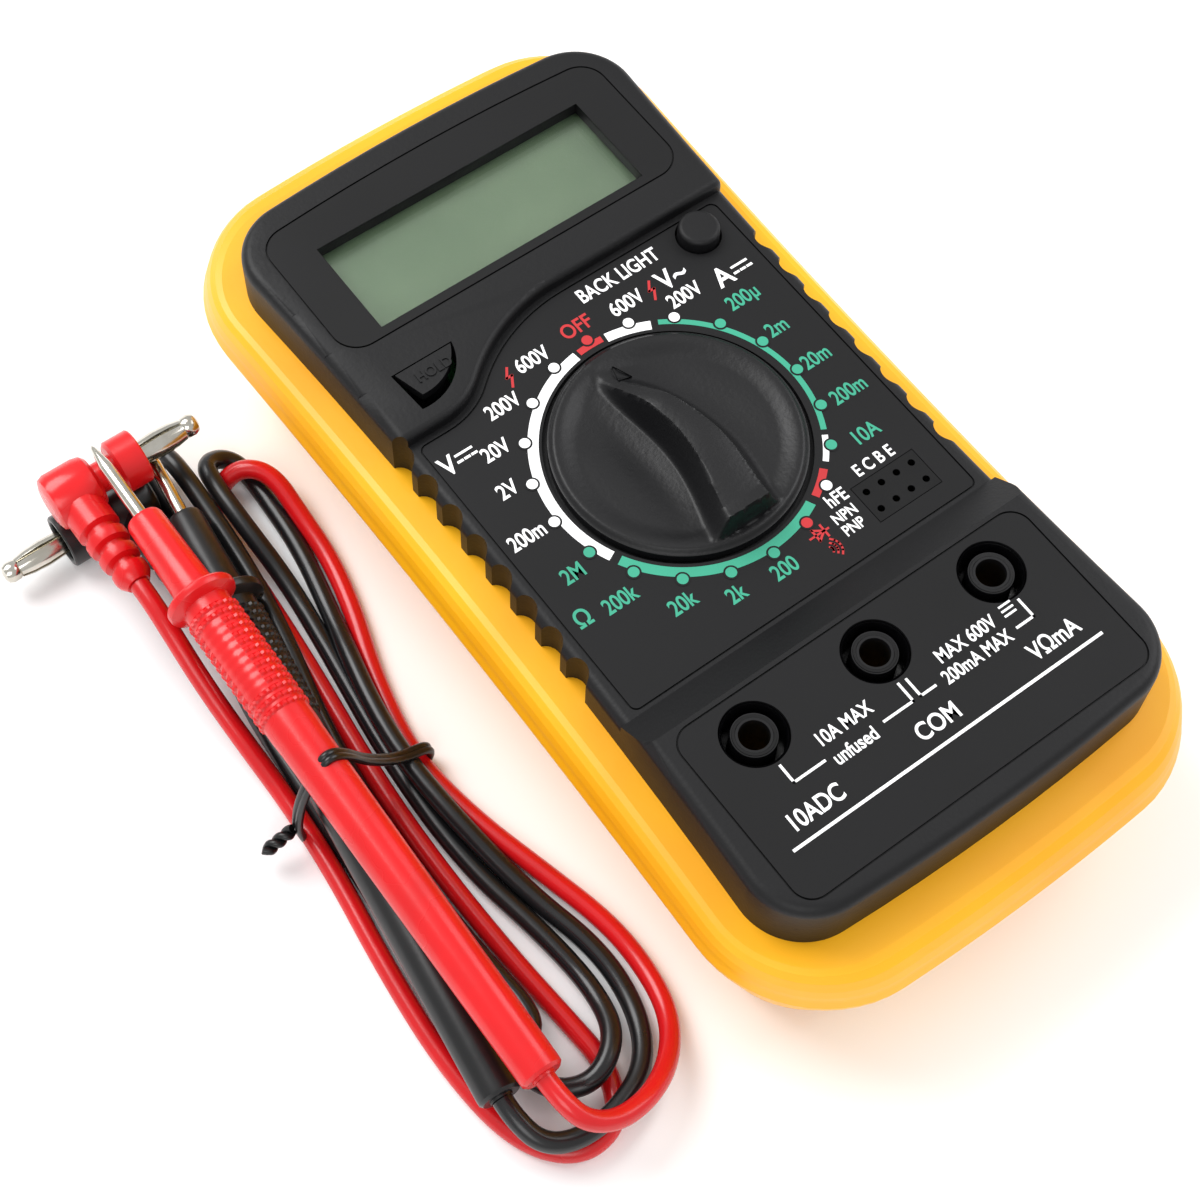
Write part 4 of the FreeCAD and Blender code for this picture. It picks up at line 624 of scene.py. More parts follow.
@dataclass
class Knob:
    """The dished knob with its swept grip ridge."""

    centre: tuple[float, float, float] = (0.0, -0.5, 31.3)
    radius: float = 17.1
    base: float = -0.8
    rim: float = 1.4
    dish: float = 0.55
    ridge: float = 6.3
    hub: tuple[float, float] = (7.0, -2.2)
    rings: int = 92
    sides: int = 250

    def height(self, x: float, y: float) -> float:
        """Height of the knob's top over the dial panel.

        Args:
            x: across the ridge, from the centre.
            y: along the ridge, towards the pointer.

        Returns:
            The height.
        """
        radius = math.hypot(x, y)
        dish = self.rim - self.dish * self.ease((16.0 - radius) / 3.0)
        edge = self.ease((self.radius - radius) / 0.9)
        floor = dish - 0.7 * (1 - edge)
        share = min(max((14.6 - y) / 29.0, 0.0), 1.0)
        crest = -0.9 + 1.5 * math.sin(math.pi * (share * 1.55 - 0.42)) + 0.9 * share
        half = 0.35 + 2.75 * share**0.85
        rise = self.ease((share + 0.03) / 0.42) * (self.ridge - self.rim)
        rise *= 1 - 0.16 * self.ease((share - 0.6) / 0.4)
        left = crest - half
        right = crest + half * (0.75 + 0.35 * share)
        across_left = max(left - x, 0.0) / (1.0 + 1.3 * share)
        across_right = max(x - right, 0.0) / (5.2 - 2.4 * share)
        if x < left:
            fall = max(1 - across_left, 0.0) ** 1.6
        else:
            fall = max(1 - across_right, 0.0) ** 2.1
        crown = 1 - 0.05 * ((x - crest) / (half + 0.4)) ** 2 if left <= x <= right else 1.0
        end = self.ease((y + 15.3) / 0.55)
        scoop_middle = crest - half - 3.4 - 1.4 * math.sin(math.pi * share)
        scoop = math.exp(-(((x - scoop_middle) / 3.0) ** 2))
        scoop *= math.sin(math.pi * min(share * 1.06, 1)) ** 0.8
        hollow = math.exp(-(((x - crest - half - 4.6) / 3.2) ** 2))
        hollow *= math.sin(math.pi * min(share * 1.1, 1))
        bowl = (0.75 * scoop + 0.35 * hollow) * self.ease((15.6 - radius) / 1.5)
        return floor - bowl * (1 - fall) + rise * fall * crown * end

    @staticmethod
    def ease(share: float) -> float:
        """Smooth step from 0 to 1."""
        share = min(max(share, 0.0), 1.0)
        return share * share * (3 - 2 * share)

    def build(self) -> None:
        """Builds the knob, with its raised pointer mark."""
        bm = bmesh.new()
        fine = [(self.radius * spot / self.rings, 0.0) for spot in range(self.rings + 1)]
        walls = [
            (self.radius, self.rim - 0.75),
            (self.radius, self.base),
            (self.hub[0], self.base),
            (self.hub[0], self.hub[1]),
            (0.0, self.hub[1]),
        ]
        lathe(bm, fine + walls, self.sides, Matrix.Identity(4))
        for vert in bm.verts:
            if abs(vert.co.z) < 1e-6:
                vert.co.z = self.height(vert.co.x, vert.co.y)
        bmesh.ops.translate(bm, vec=self.centre, verts=bm.verts)
        piece = finished("range_knob", bm, KNOB_ABS, Body.DIAL, 50)
        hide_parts("dial_knob")
        mark = bmesh.new()
        corners = [(-1.15, 11.2), (1.15, 11.2), (0.12, 14.0), (-0.12, 14.0)]
        verts = [mark.verts.new((x - 0.3, y, self.height(x - 0.3, y) - 0.06)) for x, y in corners]
        face = mark.faces.new(verts)
        bmesh.ops.inset_region(mark, faces=[face], thickness=0.24, depth=0.0, use_boundary=True)
        bmesh.ops.delete(mark, geom=[face], context="FACES")
        grown = bmesh.ops.extrude_face_region(mark, geom=mark.faces[:])
        raised = [item for item in grown["geom"] if isinstance(item, bmesh.types.BMVert)]
        bmesh.ops.translate(mark, vec=(0, 0, 0.26), verts=raised)
        bmesh.ops.recalc_face_normals(mark, faces=mark.faces)
        bmesh.ops.translate(mark, vec=self.centre, verts=mark.verts)
        finished("knob_pointer", mark, KNOB_ABS, Body.DIAL)


# ---------------------------------------------------------------- printing


class Ink(Enum):
    """The three inks of the panel."""

    WHITE = WHITE_INK
    GREEN = GREEN_INK
    RED = RED_INK


@dataclass
class Legend:
    """One line of lettering: text, middle, height of its capitals, ink and sideways squeeze."""

    text: str
    x: float
    y: float
    size: float
    ink: Ink
    squeeze: float = 1.0


@dataclass
class Printing:
    """The dial's ring, dots and lettering, in ink a few hundredths of a millimetre thick."""

    dial: Point = (0.0, -0.5)
    dial_face: float = 31.3
    jack_face: float = 34.8
    film: float = 0.03
    dots: float = 20.0
    arcs: tuple[tuple[float, float, float, float, Ink], ...] = (
        (18.25, 19.65, 63.5, 83.0, Ink.WHITE),
        (18.9, 19.7, -29.0, 60.5, Ink.GREEN),
        (18.9, 19.7, -43.5, -31.5, Ink.WHITE),
        (18.6, 19.7, -60.0, -47.0, Ink.RED),
        (18.3, 19.7, -150.5, -63.5, Ink.GREEN),
        (18.2, 19.65, -262.0, -154.0, Ink.WHITE),
        (18.6, 19.6, 84.7, 96.3, Ink.RED),
    )

    def build(self) -> None:
        """Prints every ink on both panels."""
        parts = {ink: bmesh.new() for ink in Ink}
        base = self.dial_face + self.film
        for inner, outer, start, end, ink in self.arcs:
            self.arc(parts[ink], inner, outer, start, end, base)
        for spot in range(20):
            self.disc(parts[self.dot_ink(spot)], self.dot_middle(spot, base + 0.05), 0.76)
        for legend in self.range_legends():
            self.letter(parts[legend.ink], legend, self.dial, base)
        for legend in self.jack_legends():
            self.letter(parts[legend.ink], legend, self.dial, self.jack_face + self.film)
        self.marks(parts)
        for ink, bm in parts.items():
            finished(f"print_{ink.name.lower()}", bm, ink.value, Body.METER)
        self.dot_rings()

    @staticmethod
    def dot_ink(spot: int) -> Ink:
        """The ink of one range position's dot."""
        if spot in (0, 9):
            return Ink.RED
        return Ink.GREEN if spot in (3, 4, 5, 6, 7, 10, 11, 12, 13, 14) else Ink.WHITE

    def dot_middle(self, spot: int, height: float) -> Vector:
        """The middle of one range position's dot, 18 degrees on from the one before."""
        turn = math.radians(90 - 18 * spot)
        x = self.dial[0] + self.dots * math.cos(turn)
        y = self.dial[1] + self.dots * math.sin(turn)
        return Vector((x, y, height))

    def dot_rings(self) -> None:
        """Lays the thin dark ring that sets each dot off from its arc."""
        bm = bmesh.new()
        for spot in range(20):
            self.disc(bm, self.dot_middle(spot, self.dial_face + self.film + 0.03), 1.02)
        finished("print_dot_rings", bm, LABEL_FILM, Body.METER)

    def arc(
        self, bm: bmesh.types.BMesh, inner: float, outer: float, start: float, end: float, height: float
    ) -> None:
        """Draws a ring sector round the dial.

        Args:
            bm: the ink's mesh.
            inner: inner radius.
            outer: outer radius.
            start: first angle in degrees.
            end: last angle in degrees.
            height: level of the ink.
        """
        sector = bmesh.new()
        turn = math.radians(start)
        way = Vector((math.cos(turn), math.sin(turn), 0.0))
        verts = [sector.verts.new(way * radius) for radius in (inner, outer)]
        edge = sector.edges.new(verts)
        bmesh.ops.spin(
            sector, geom=verts + [edge], cent=(0, 0, 0), axis=(0, 0, 1),
            angle=math.radians(end - start), steps=max(6, int(abs(end - start) / 2)),
        )
        self.face_up(sector)
        bmesh.ops.translate(sector, vec=(self.dial[0], self.dial[1], height), verts=sector.verts)
        join(bm, sector)

    @staticmethod
    def face_up(bm: bmesh.types.BMesh) -> None:
        """Turns every flat face upwards.

        Args:
            bm: the flat mesh.
        """
        bm.normal_update()
        down = [face for face in bm.faces if face.normal.z < 0]
        bmesh.ops.reverse_faces(bm, faces=down)

    def disc(self, bm: bmesh.types.BMesh, middle: Vector, radius: float) -> None:
        """Draws a filled dot.

        Args:
            bm: the ink's mesh.
            middle: its centre.
            radius: its radius.
        """
        dot = bmesh.new()
        bmesh.ops.create_circle(
            dot, cap_ends=True, segments=24, radius=radius, matrix=Matrix.Translation(middle)
        )
        self.face_up(dot)
        join(bm, dot)

    def letter(self, bm: bmesh.types.BMesh, legend: Legend, origin: Point, height: float) -> None:
        """Sets one line of lettering.

        Args:
            bm: the ink's mesh.
            legend: the line.
            origin: the panel's zero.
            height: level of the ink.
        """
        curve = bpy.data.curves.new("lettering", "FONT")
        curve.body = legend.text
        curve.align_x = "CENTER"
        curve.align_y = "CENTER"
        curve.size = legend.size * 1.5
        curve.offset = 0.028 * legend.size
        holder = bpy.data.objects.new("lettering", curve)
        bpy.context.scene.collection.objects.link(holder)
        bpy.context.view_layer.update()
        depsgraph = bpy.context.evaluated_depsgraph_get()
        mesh = bpy.data.meshes.new_from_object(holder.evaluated_get(depsgraph))
        bpy.data.objects.remove(holder)
        bpy.data.curves.remove(curve)
        line = bmesh.new()
        line.from_mesh(mesh)
        bpy.data.meshes.remove(mesh)
        bmesh.ops.scale(line, vec=(legend.squeeze, 1, 1), verts=line.verts)
        self.face_up(line)
        spot = (origin[0] + legend.x, origin[1] + legend.y, height)
        bmesh.ops.translate(line, vec=spot, verts=line.verts)
        join(bm, line)

    @staticmethod
    def range_legends() -> list[Legend]:
        """Lettering round the dial."""
        white, green, red = Ink.WHITE, Ink.GREEN, Ink.RED
        rows = [
            ("OFF", 0.07, 22.5, 2.1, red, 0.85),
            ("600V", 7.9, 21.7, 2.1, white, 0.78),
            ("200V", 15.1, 18.2, 2.1, white, 0.78),
            ("V~", 15.6, 21.6, 2.9, white, 0.85),
            ("A", 21.2, 17.5, 2.9, white, 0.9),
            ("200µ", 21.3, 13.3, 2.1, green, 0.78),
            ("2m", 21.99, 6.8, 2.1, green, 0.8),
            ("20m", 23.2, 0.0, 2.1, green, 0.78),
            ("200m", 23.4, -6.6, 2.1, green, 0.76),
            ("10A", 20.9, -13.0, 2.1, green, 0.8),
            ("E C B E", 19.1, -16.9, 1.7, white, 0.8),
            ("hFE", 11.6, -18.4, 1.8, white, 0.8),
            ("NPN", 10.93, -20.9, 1.5, white, 0.8),
            ("PNP", 10.75, -23.0, 1.5, white, 0.8),
            ("200", -0.3, -22.6, 2.1, green, 0.8),
            ("2k", -7.6, -21.9, 2.1, green, 0.8),
            ("20k", -13.9, -19.0, 2.1, green, 0.8),
            ("200k", -20.0, -14.0, 2.1, green, 0.76),
            ("2M", -22.5, -7.5, 2.1, green, 0.8),
            ("Ω", -25.3, -13.4, 2.3, green, 0.9),
            ("200m", -24.1, 0.2, 2.1, white, 0.74),
            ("2V", -22.1, 7.3, 2.1, white, 0.8),
            ("20V", -19.9, 13.0, 2.1, white, 0.78),
            ("200V", -15.2, 18.0, 2.1, white, 0.76),
            ("600V", -7.8, 21.7, 2.1, white, 0.76),
            ("V", -26.2, 14.6, 2.7, white, 0.85),
            ("BACK LIGHT", 9.7, 26.0, 2.1, white, 0.74),
        ]
        return [Legend(*row) for row in rows]

    @staticmethod
    def jack_legends() -> list[Legend]:
        """Lettering on the jack panel."""
        white = Ink.WHITE
        rows = [
            ("MAX 600V", 10.1, -44.7, 1.75, white, 0.78),
            ("200mA MAX", 9.7, -47.4, 1.75, white, 0.76),
            ("10A MAX", -9.5, -44.7, 1.75, white, 0.78),
            ("unfused", -10.1, -47.8, 1.75, white, 0.8),
            ("COM", 0.0, -51.2, 2.2, white, 0.85),
            ("10ADC", -19.1, -51.2, 2.2, white, 0.8),
            ("VΩmA", 19.0, -51.1, 2.2, white, 0.82),
        ]
        return [Legend(*row) for row in rows]

    def bar(
        self, bm: bmesh.types.BMesh, first: Point, last: Point, width: float, height: float
    ) -> None:
        """Draws a straight stroke.

        Args:
            bm: the ink's mesh.
            first: its start from the dial's centre.
            last: its end.
            width: its width.
            height: level of the ink.
        """
        start = Vector((self.dial[0] + first[0], self.dial[1] + first[1], height))
        end = Vector((self.dial[0] + last[0], self.dial[1] + last[1], height))
        along = (end - start).normalized()
        side = along.cross(UP) * (width / 2)
        stroke = bmesh.new()
        cap = along * (width / 2)
        verts = [stroke.verts.new(spot - cap) for spot in (start - side, start + side)]
        edge = stroke.edges.new(verts)
        grown = bmesh.ops.extrude_edge_only(stroke, edges=[edge])
        moved = [item for item in grown["geom"] if isinstance(item, bmesh.types.BMVert)]
        bmesh.ops.translate(stroke, vec=end - start + along * width, verts=moved)
        self.face_up(stroke)
        join(bm, stroke)

    def path(self, bm: bmesh.types.BMesh, points: list[Point], width: float, height: float) -> None:
        """Draws strokes through points.

        Args:
            bm: the ink's mesh.
            points: from the dial's centre.
            width: stroke width.
            height: level of the ink.
        """
        for first, last in zip(points, points[1:]):
            self.bar(bm, first, last, width, height)

    def marks(self, parts: dict[Ink, bmesh.types.BMesh]) -> None:
        """Draws the symbols that are not letters.

        Args:
            parts: the mesh of each ink.
        """
        white, red = parts[Ink.WHITE], parts[Ink.RED]
        dial, jack = self.dial_face + self.film, self.jack_face + self.film
        for x, y in ((24.3, 17.6), (-23.4, 14.9)):
            self.bar(white, (x - 1.2, y + 0.5), (x + 1.2, y + 0.5), 0.36, dial)
            for step in (-1.1, 0.0, 1.1):
                self.bar(white, (x + step - 0.28, y - 0.5), (x + step + 0.28, y - 0.5), 0.38, dial)
        for x, y in ((-11.8, 21.2), (12.0, 21.4)):
            bolt = [(x + 0.5, y + 1.4), (x - 0.4, y + 0.1), (x + 0.4, y + 0.1), (x - 0.5, y - 1.4)]
            self.path(red, bolt, 0.36, dial)
        self.path(red, [(5.0, -21.2), (7.9, -21.2)], 0.3, dial)
        self.path(red, [(5.9, -20.3), (5.9, -22.1), (7.2, -21.2), (5.9, -20.3)], 0.32, dial)
        self.path(red, [(7.3, -20.3), (7.3, -22.1)], 0.32, dial)
        for radius in (0.5, 1.1, 1.7):
            points = [
                (6.0 + radius * math.cos(math.radians(turn)), -23.9 + radius * math.sin(math.radians(turn)))
                for turn in range(-50, 51, 20)
            ]
            self.path(red, points, 0.28, dial)
        self.bar(white, (-24.5, -53.9), (24.3, -53.9), 0.42, jack)
        self.path(white, [(-19.1, -44.5), (-19.1, -47.1), (-14.4, -47.1)], 0.36, jack)
        self.path(white, [(-5.2, -47.3), (-0.6, -47.3), (-0.6, -44.5)], 0.36, jack)
        self.path(white, [(0.6, -44.6), (0.6, -47.3), (2.9, -47.3)], 0.36, jack)
        self.path(white, [(16.4, -47.2), (19.1, -47.2), (19.1, -44.4)], 0.36, jack)
        for step in (-0.7, 0.0, 0.7):
            self.bar(white, (16.3 + step * 0.1, -44.5 + step), (17.9 + step * 0.1, -44.5 + step), 0.3, jack)


# ---------------------------------------------------------------- keys and small case details


@dataclass
class CaseDetails:
    """Details of the case that its solids leave plain."""

    jack_y: float = -39.9
    jack_pitch: float = 19.0
    jack_face: float = 34.8

    def build(self) -> None:
        """Builds the jack bushes and the key's lettering."""
        self.jack_bushes()
        self.key_word()

    def jack_bushes(self) -> None:
        """Lines each jack well with its glossy moulded bush."""
        bm = bmesh.new()
        for spot in (-1, 0, 1):
            profile = [
                (4.42, -7.55),
                (4.42, -0.45),
                (4.2, -0.2),
                (4.05, -0.45),
                (4.0, -7.1),
                (3.15, -7.1),
                (3.02, -0.7),
                (2.75, -0.22),
                (2.4, -0.22),
                (2.06, -0.6),
                (2.04, -1.0),
            ]
            middle = Vector((spot * self.jack_pitch, self.jack_y, self.jack_face))
            lathe(bm, profile, 64, Matrix.Translation(middle))
        finished("jack_bushes", bm, SOCKET_ABS, Body.METER, 40)

    def key_word(self) -> None:
        """Raises the small word on the hold key."""
        legend = Legend("HOLD", -19.9, 26.9, 1.45, Ink.WHITE, 0.9)
        bm = bmesh.new()
        Printing().letter(bm, legend, (0.0, -0.5), 0.0)
        grown = bmesh.ops.extrude_face_region(bm, geom=bm.faces[:])
        raised = [item for item in grown["geom"] if isinstance(item, bmesh.types.BMVert)]
        bmesh.ops.translate(bm, vec=(0, 0, 0.22), verts=raised)
        bmesh.ops.translate(bm, vec=(0, 0, 33.25), verts=bm.verts)
        bmesh.ops.recalc_face_normals(bm, faces=bm.faces)
        finished("hold_word", bm, CASE_ABS, Body.HOLD)


# ---------------------------------------------------------------- the test leads


@dataclass
class Probe:
    """One probe: ribbed handle with a finger guard, and a bare needle."""

    colour: str
    nose: tuple[float, float, float]
    tail: tuple[float, float, float]
    finish: Finish
    length: float = 93.0
    needle: float = 13.6

    def place(self) -> Matrix:
        """The placement with Z from the tail to the nose."""
        tail, nose = Vector(self.tail), Vector(self.nose)
        return aimed(tail, nose - tail)

    def handle(self) -> None:
        """Turns the handle, with its grip ribs."""
        guard = self.length - 15.6
        grip_start = self.length * 0.62
        profile: list[Point] = [(0.0, 0.0), (1.55, 0.0), (1.6, 0.3), (2.5, 0.3), (2.9, 0.7)]
        profile += [(2.95, 1.2), (3.05, 22.0), (3.2, 42.0), (3.3, grip_start - 4), (3.4, grip_start - 2)]
        height = grip_start
        while height < guard - 1.6:
            profile += [(3.4, height), (3.75, height + 0.25), (3.75, height + 0.65), (3.4, height + 0.9)]
            height += 1.3
        profile += [
            (3.4, guard - 0.4),
            (4.2, guard - 0.1),
            (4.85, guard + 0.2),
            (5.0, guard + 0.5),
            (5.0, guard + 1.1),
            (4.8, guard + 1.4),
            (3.3, guard + 1.7),
            (2.9, guard + 3.4),
            (2.62, self.length - 0.7),
            (2.4, self.length - 0.15),
            (2.1, self.length),
            (0.9, self.length),
            (0.9, self.length - 1.0),
            (0.0, self.length - 1.0),
        ]
        bm = bmesh.new()
        lathe(bm, profile, 72, Matrix.Identity(4))
        self.teeth(bm, grip_start, guard)
        bmesh.ops.transform(bm, matrix=self.place(), verts=bm.verts)
        piece = finished(
            f"{self.colour}_handle", bm, self.finish, Body.METER, 30
        )
        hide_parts(f"{self.colour}_probe_handle")

    def teeth(self, bm: bmesh.types.BMesh, start: float, end: float) -> None:
        """Breaks the grip's ribs into teeth and leaves a smooth panel on two sides.

        Args:
            bm: the handle, upright.
            start: where the grip starts.
            end: where it ends.
        """
        for vert in bm.verts:
            radius = math.hypot(vert.co.x, vert.co.y)
            if radius < 3.7 or not start < vert.co.z < end - 0.5:
                continue
            turn = math.degrees(math.atan2(vert.co.y, vert.co.x)) % 360
            panel = abs((turn + 35) % 180 - 90) < 32 and start + 4 < vert.co.z < end - 4
            low = panel or round(turn / 5) % 3 == 0
            if low:
                vert.co.x *= 3.45 / radius
                vert.co.y *= 3.45 / radius

    def tip(self) -> None:
        """Turns the needle."""
        end = self.length + self.needle
        profile = [
            (0.0, self.length - 0.9),
            (0.95, self.length - 0.9),
            (1.0, self.length - 0.5),
            (1.0, end - 4.2),
            (0.93, end - 3.6),
            (0.35, end - 0.6),
            (0.12, end - 0.1),
            (0.0, end),
        ]
        bm = bmesh.new()
        lathe(bm, profile, 40, self.place())
        piece = finished(f"{self.colour}_needle", bm, NICKEL_PLATE, Body.METER, 30)
        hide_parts(f"{self.colour}_probe_tip")


@dataclass
class Plug:
    """A right-angle plug: block, neck, shroud, ribbed strain relief and a sprung pin."""

    colour: str
    middle: tuple[float, float, float]
    way: int
    finish: Finish
    block: float = 4.2
    block_length: float = 7.2
    neck: float = 2.2
    neck_length: float = 3.0
    shroud: float = 3.95
    shroud_length: float = 4.1
    reach: float = 9.2

    def along(self, shift: float) -> Vector:
        """A point on the plug's axis, shift from the neck's middle."""
        return Vector(self.middle) + Vector((self.way * shift, 0, 0))

    def relief_start(self) -> Vector:
        """Where the strain relief leaves the block."""
        shift = -self.neck_length / 2 - self.block_length / 2
        return self.along(shift) + Vector((0, -3.0, 0))

    def build(self) -> None:
        """Builds the plug's body and its pin."""
        bm = bmesh.new()
        half = self.neck_length / 2
        start = -half - self.block_length
        end = half + self.shroud_length
        profile = [
            (0.0, start),
            (self.block - 1.3, start),
            (self.block - 0.35, start + 0.35),
            (self.block, start + 1.2),
            (self.block, -half - 1.6),
            (self.block - 0.25, -half - 0.5),
            (self.block - 0.8, -half),
            (self.neck, -half + 0.1),
            (self.neck, half - 0.1),
            (self.shroud - 0.5, half),
            (self.shroud, half + 0.4),
            (self.shroud, end - 0.2),
            (self.shroud - 0.2, end),
            (self.shroud - 0.7, end),
            (self.shroud - 0.85, end - 0.25),
            (self.shroud - 0.85, half + 1.2),
            (0.0, half + 1.2),
        ]
        way = Vector((self.way, 0, 0))
        lathe(bm, profile, 48, aimed(Vector(self.middle), way))
        relief: list[Point] = [(0.0, 0.0), (3.1, 0.0), (3.1, 4.2)]
        for rib in range(3):
            low = 4.6 + rib * 3.0
            radius = 3.0 - 0.22 * rib
            relief += [(radius - 0.75, low), (radius - 0.75, low + 0.8), (radius, low + 1.15)]
            relief += [(radius + 0.05, low + 2.0), (radius - 0.1, low + 2.7)]
        relief += [(2.0, 14.0), (1.7, 14.4), (0.0, 14.4)]
        lathe(bm, relief, 40, aimed(self.relief_start(), Vector((0, -1, 0))))
        piece = finished(
            f"{self.colour}_plug_moulding", bm, self.finish, Body.METER, 30
        )
        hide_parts(f"{self.colour}_plug_body")
        self.pin(half + 1.25, end + self.reach)

    def pin(self, start: float, end: float) -> None:
        """Builds the pin: a core with a button end and four bowed leaves.

        Args:
            start: where it leaves the shroud's floor.
            end: its tip.
        """
        bm = bmesh.new()
        way = Vector((self.way, 0, 0))
        core = [
            (0.0, start),
            (1.75, start),
            (1.75, start + 1.4),
            (1.15, start + 1.7),
            (1.15, end - 2.4),
            (1.5, end - 2.0),
            (1.55, end - 0.9),
            (1.25, end - 0.25),
            (0.7, end),
            (0.0, end),
        ]
        lathe(bm, core, 40, aimed(Vector(self.middle), way))
        low, high = start + 1.6, end - 2.1
        span = high - low
        leaf = [(1.2, low), (1.55, low + 0.1), (1.78, low + 0.22 * span), (1.93, low + 0.5 * span)]
        leaf += [(1.8, low + 0.78 * span), (1.5, high - 0.2), (1.2, high), (1.2, low)]
        for quarter in range(4):
            leaves = bmesh.new()
            turn = math.radians(90 * quarter + 8)
            spin_way = Vector((math.cos(turn), math.sin(turn), 0))
            verts = [leaves.verts.new(spin_way * radius + UP * height) for radius, height in leaf[:-1]]
            face = leaves.faces.new(verts)
            bmesh.ops.spin(
                leaves, geom=[face], cent=(0, 0, 0), axis=(0, 0, 1), angle=math.radians(74),
                steps=10, use_duplicate=False,
            )
            bmesh.ops.remove_doubles(leaves, verts=leaves.verts, dist=1e-4)
            bmesh.ops.recalc_face_normals(leaves, faces=leaves.faces)
            bmesh.ops.transform(leaves, matrix=aimed(Vector(self.middle), way), verts=leaves.verts)
            join(bm, leaves)
        piece = finished(f"{self.colour}_pin", bm, NICKEL_PLATE, Body.METER, 40)
        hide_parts(f"{self.colour}_plug_pin")


@dataclass
class Lead:
    """One test lead's cord, folded back and forth beside the meter."""

    colour: str
    finish: Finish
    route: list[tuple[float, float, float]]
    length: float
    thickness: float = 2.8

    def build(self) -> bpy.types.Object:
        """Lays the cord along its route.

        Returns:
            The cord.
        """
        curve = bpy.data.curves.new(f"{self.colour}_lead", "CURVE")
        curve.dimensions = "3D"
        curve.bevel_depth = self.thickness / 2 * MM
        curve.bevel_resolution = 5
        curve.use_fill_caps = True
        spline = curve.splines.new("NURBS")
        spline.points.add(len(self.route) - 1)
        for point, spot in zip(spline.points, self.route):
            point.co = (spot[0] * MM, spot[1] * MM, spot[2] * MM, 1.0)
        spline.order_u = 3
        spline.use_endpoint_u = True
        spline.resolution_u = 10
        piece = bpy.data.objects.new(f"{self.colour}_lead", curve)
        bpy.context.scene.collection.objects.link(piece)
        curve.materials.append(self.finish.make())
        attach(piece, Body.METER.value)
        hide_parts("lead_hank")
        LOG.info("%s lead: %d points", self.colour, len(self.route))
        return piece


@dataclass
class TwistTie:
    """The vinyl-covered wire that holds the folded leads, with twisted ends."""

    y: float = -6.2
    left: float = -66.0
    right: float = -44.0
    top: float = 20.2

    def build(self) -> None:
        """Bends the tie over the bundle and twists its ends."""
        curve = bpy.data.curves.new("tie_path", "CURVE")
        curve.dimensions = "3D"
        curve.bevel_depth = 0.55 * MM
        curve.bevel_resolution = 3
        curve.use_fill_caps = True
        points = [
            (self.left + 1.2, self.y, 0.7),
            (self.left + 0.4, self.y, 4.0),
            (self.left + 1.0, self.y, 9.5),
            (self.left + 2.6, self.y, 14.5),
            (self.left + 5.0, self.y + 0.1, 18.0),
            (self.left + 6.8, self.y + 0.2, self.top - 0.2),
            (self.left + 9.2, self.y + 0.2, 17.4),
            (self.left + 12.0, self.y + 0.1, 11.6),
            (self.left + 16.5, self.y, 6.2),
            (self.right - 1.2, self.y, 4.6),
            (self.right - 0.4, self.y, 2.6),
            (self.right - 1.4, self.y, 0.7),
        ]
        for shift in (-0.38, 0.38):
            self.strand(curve, [(x, y + shift, z) for x, y, z in points])
        for side in (0.0, math.pi):
            ends = [
                (
                    self.left - 0.2 - 0.55 * step,
                    self.y + 0.2 + 0.55 * math.sin(side + 1.2 * step),
                    5.2 - 0.18 * step + 0.55 * math.cos(side + 1.2 * step),
                )
                for step in range(9)
            ]
            self.strand(curve, ends)
        holder = bpy.data.objects.new("tie_path", curve)
        bpy.context.scene.collection.objects.link(holder)
        bpy.context.view_layer.update()
        depsgraph = bpy.context.evaluated_depsgraph_get()
        mesh = bpy.data.meshes.new_from_object(holder.evaluated_get(depsgraph))
        bpy.data.objects.remove(holder)
        bm = bmesh.new()
        bm.from_mesh(mesh)
        piece = finished("lead_tie", bm, TIE_VINYL, Body.METER, 60, scale=1.0)
        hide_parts("twist_tie")

    @staticmethod
    def strand(curve: bpy.types.Curve, points: list[tuple[float, float, float]]) -> None:
        """Adds one smooth strand to the tie.

        Args:
            curve: the tie's curve.
            points: its control points.
        """
        spline = curve.splines.new("NURBS")
        spline.points.add(len(points) - 1)
        for point, spot in zip(spline.points, points):
            point.co = (spot[0] * MM, spot[1] * MM, spot[2] * MM, 1.0)
        spline.order_u = 3
        spline.use_endpoint_u = True


RED_PROBE = Probe("red", (-59.6, 38.4, 17.5), (-60.6, -54.5, 14.5), RED_HANDLE)
BLACK_PROBE = Probe("black", (-53.5, 40.2, 9.1), (-65.2, -52.0, 7.7), BLACK_HANDLE)
RED_PLUG = Plug("red", (-59.4, 50.2, 12.8), 1, RED_HANDLE)
BLACK_PLUG = Plug("black", (-62.8, 49.4, 4.3), -1, BLACK_HANDLE)

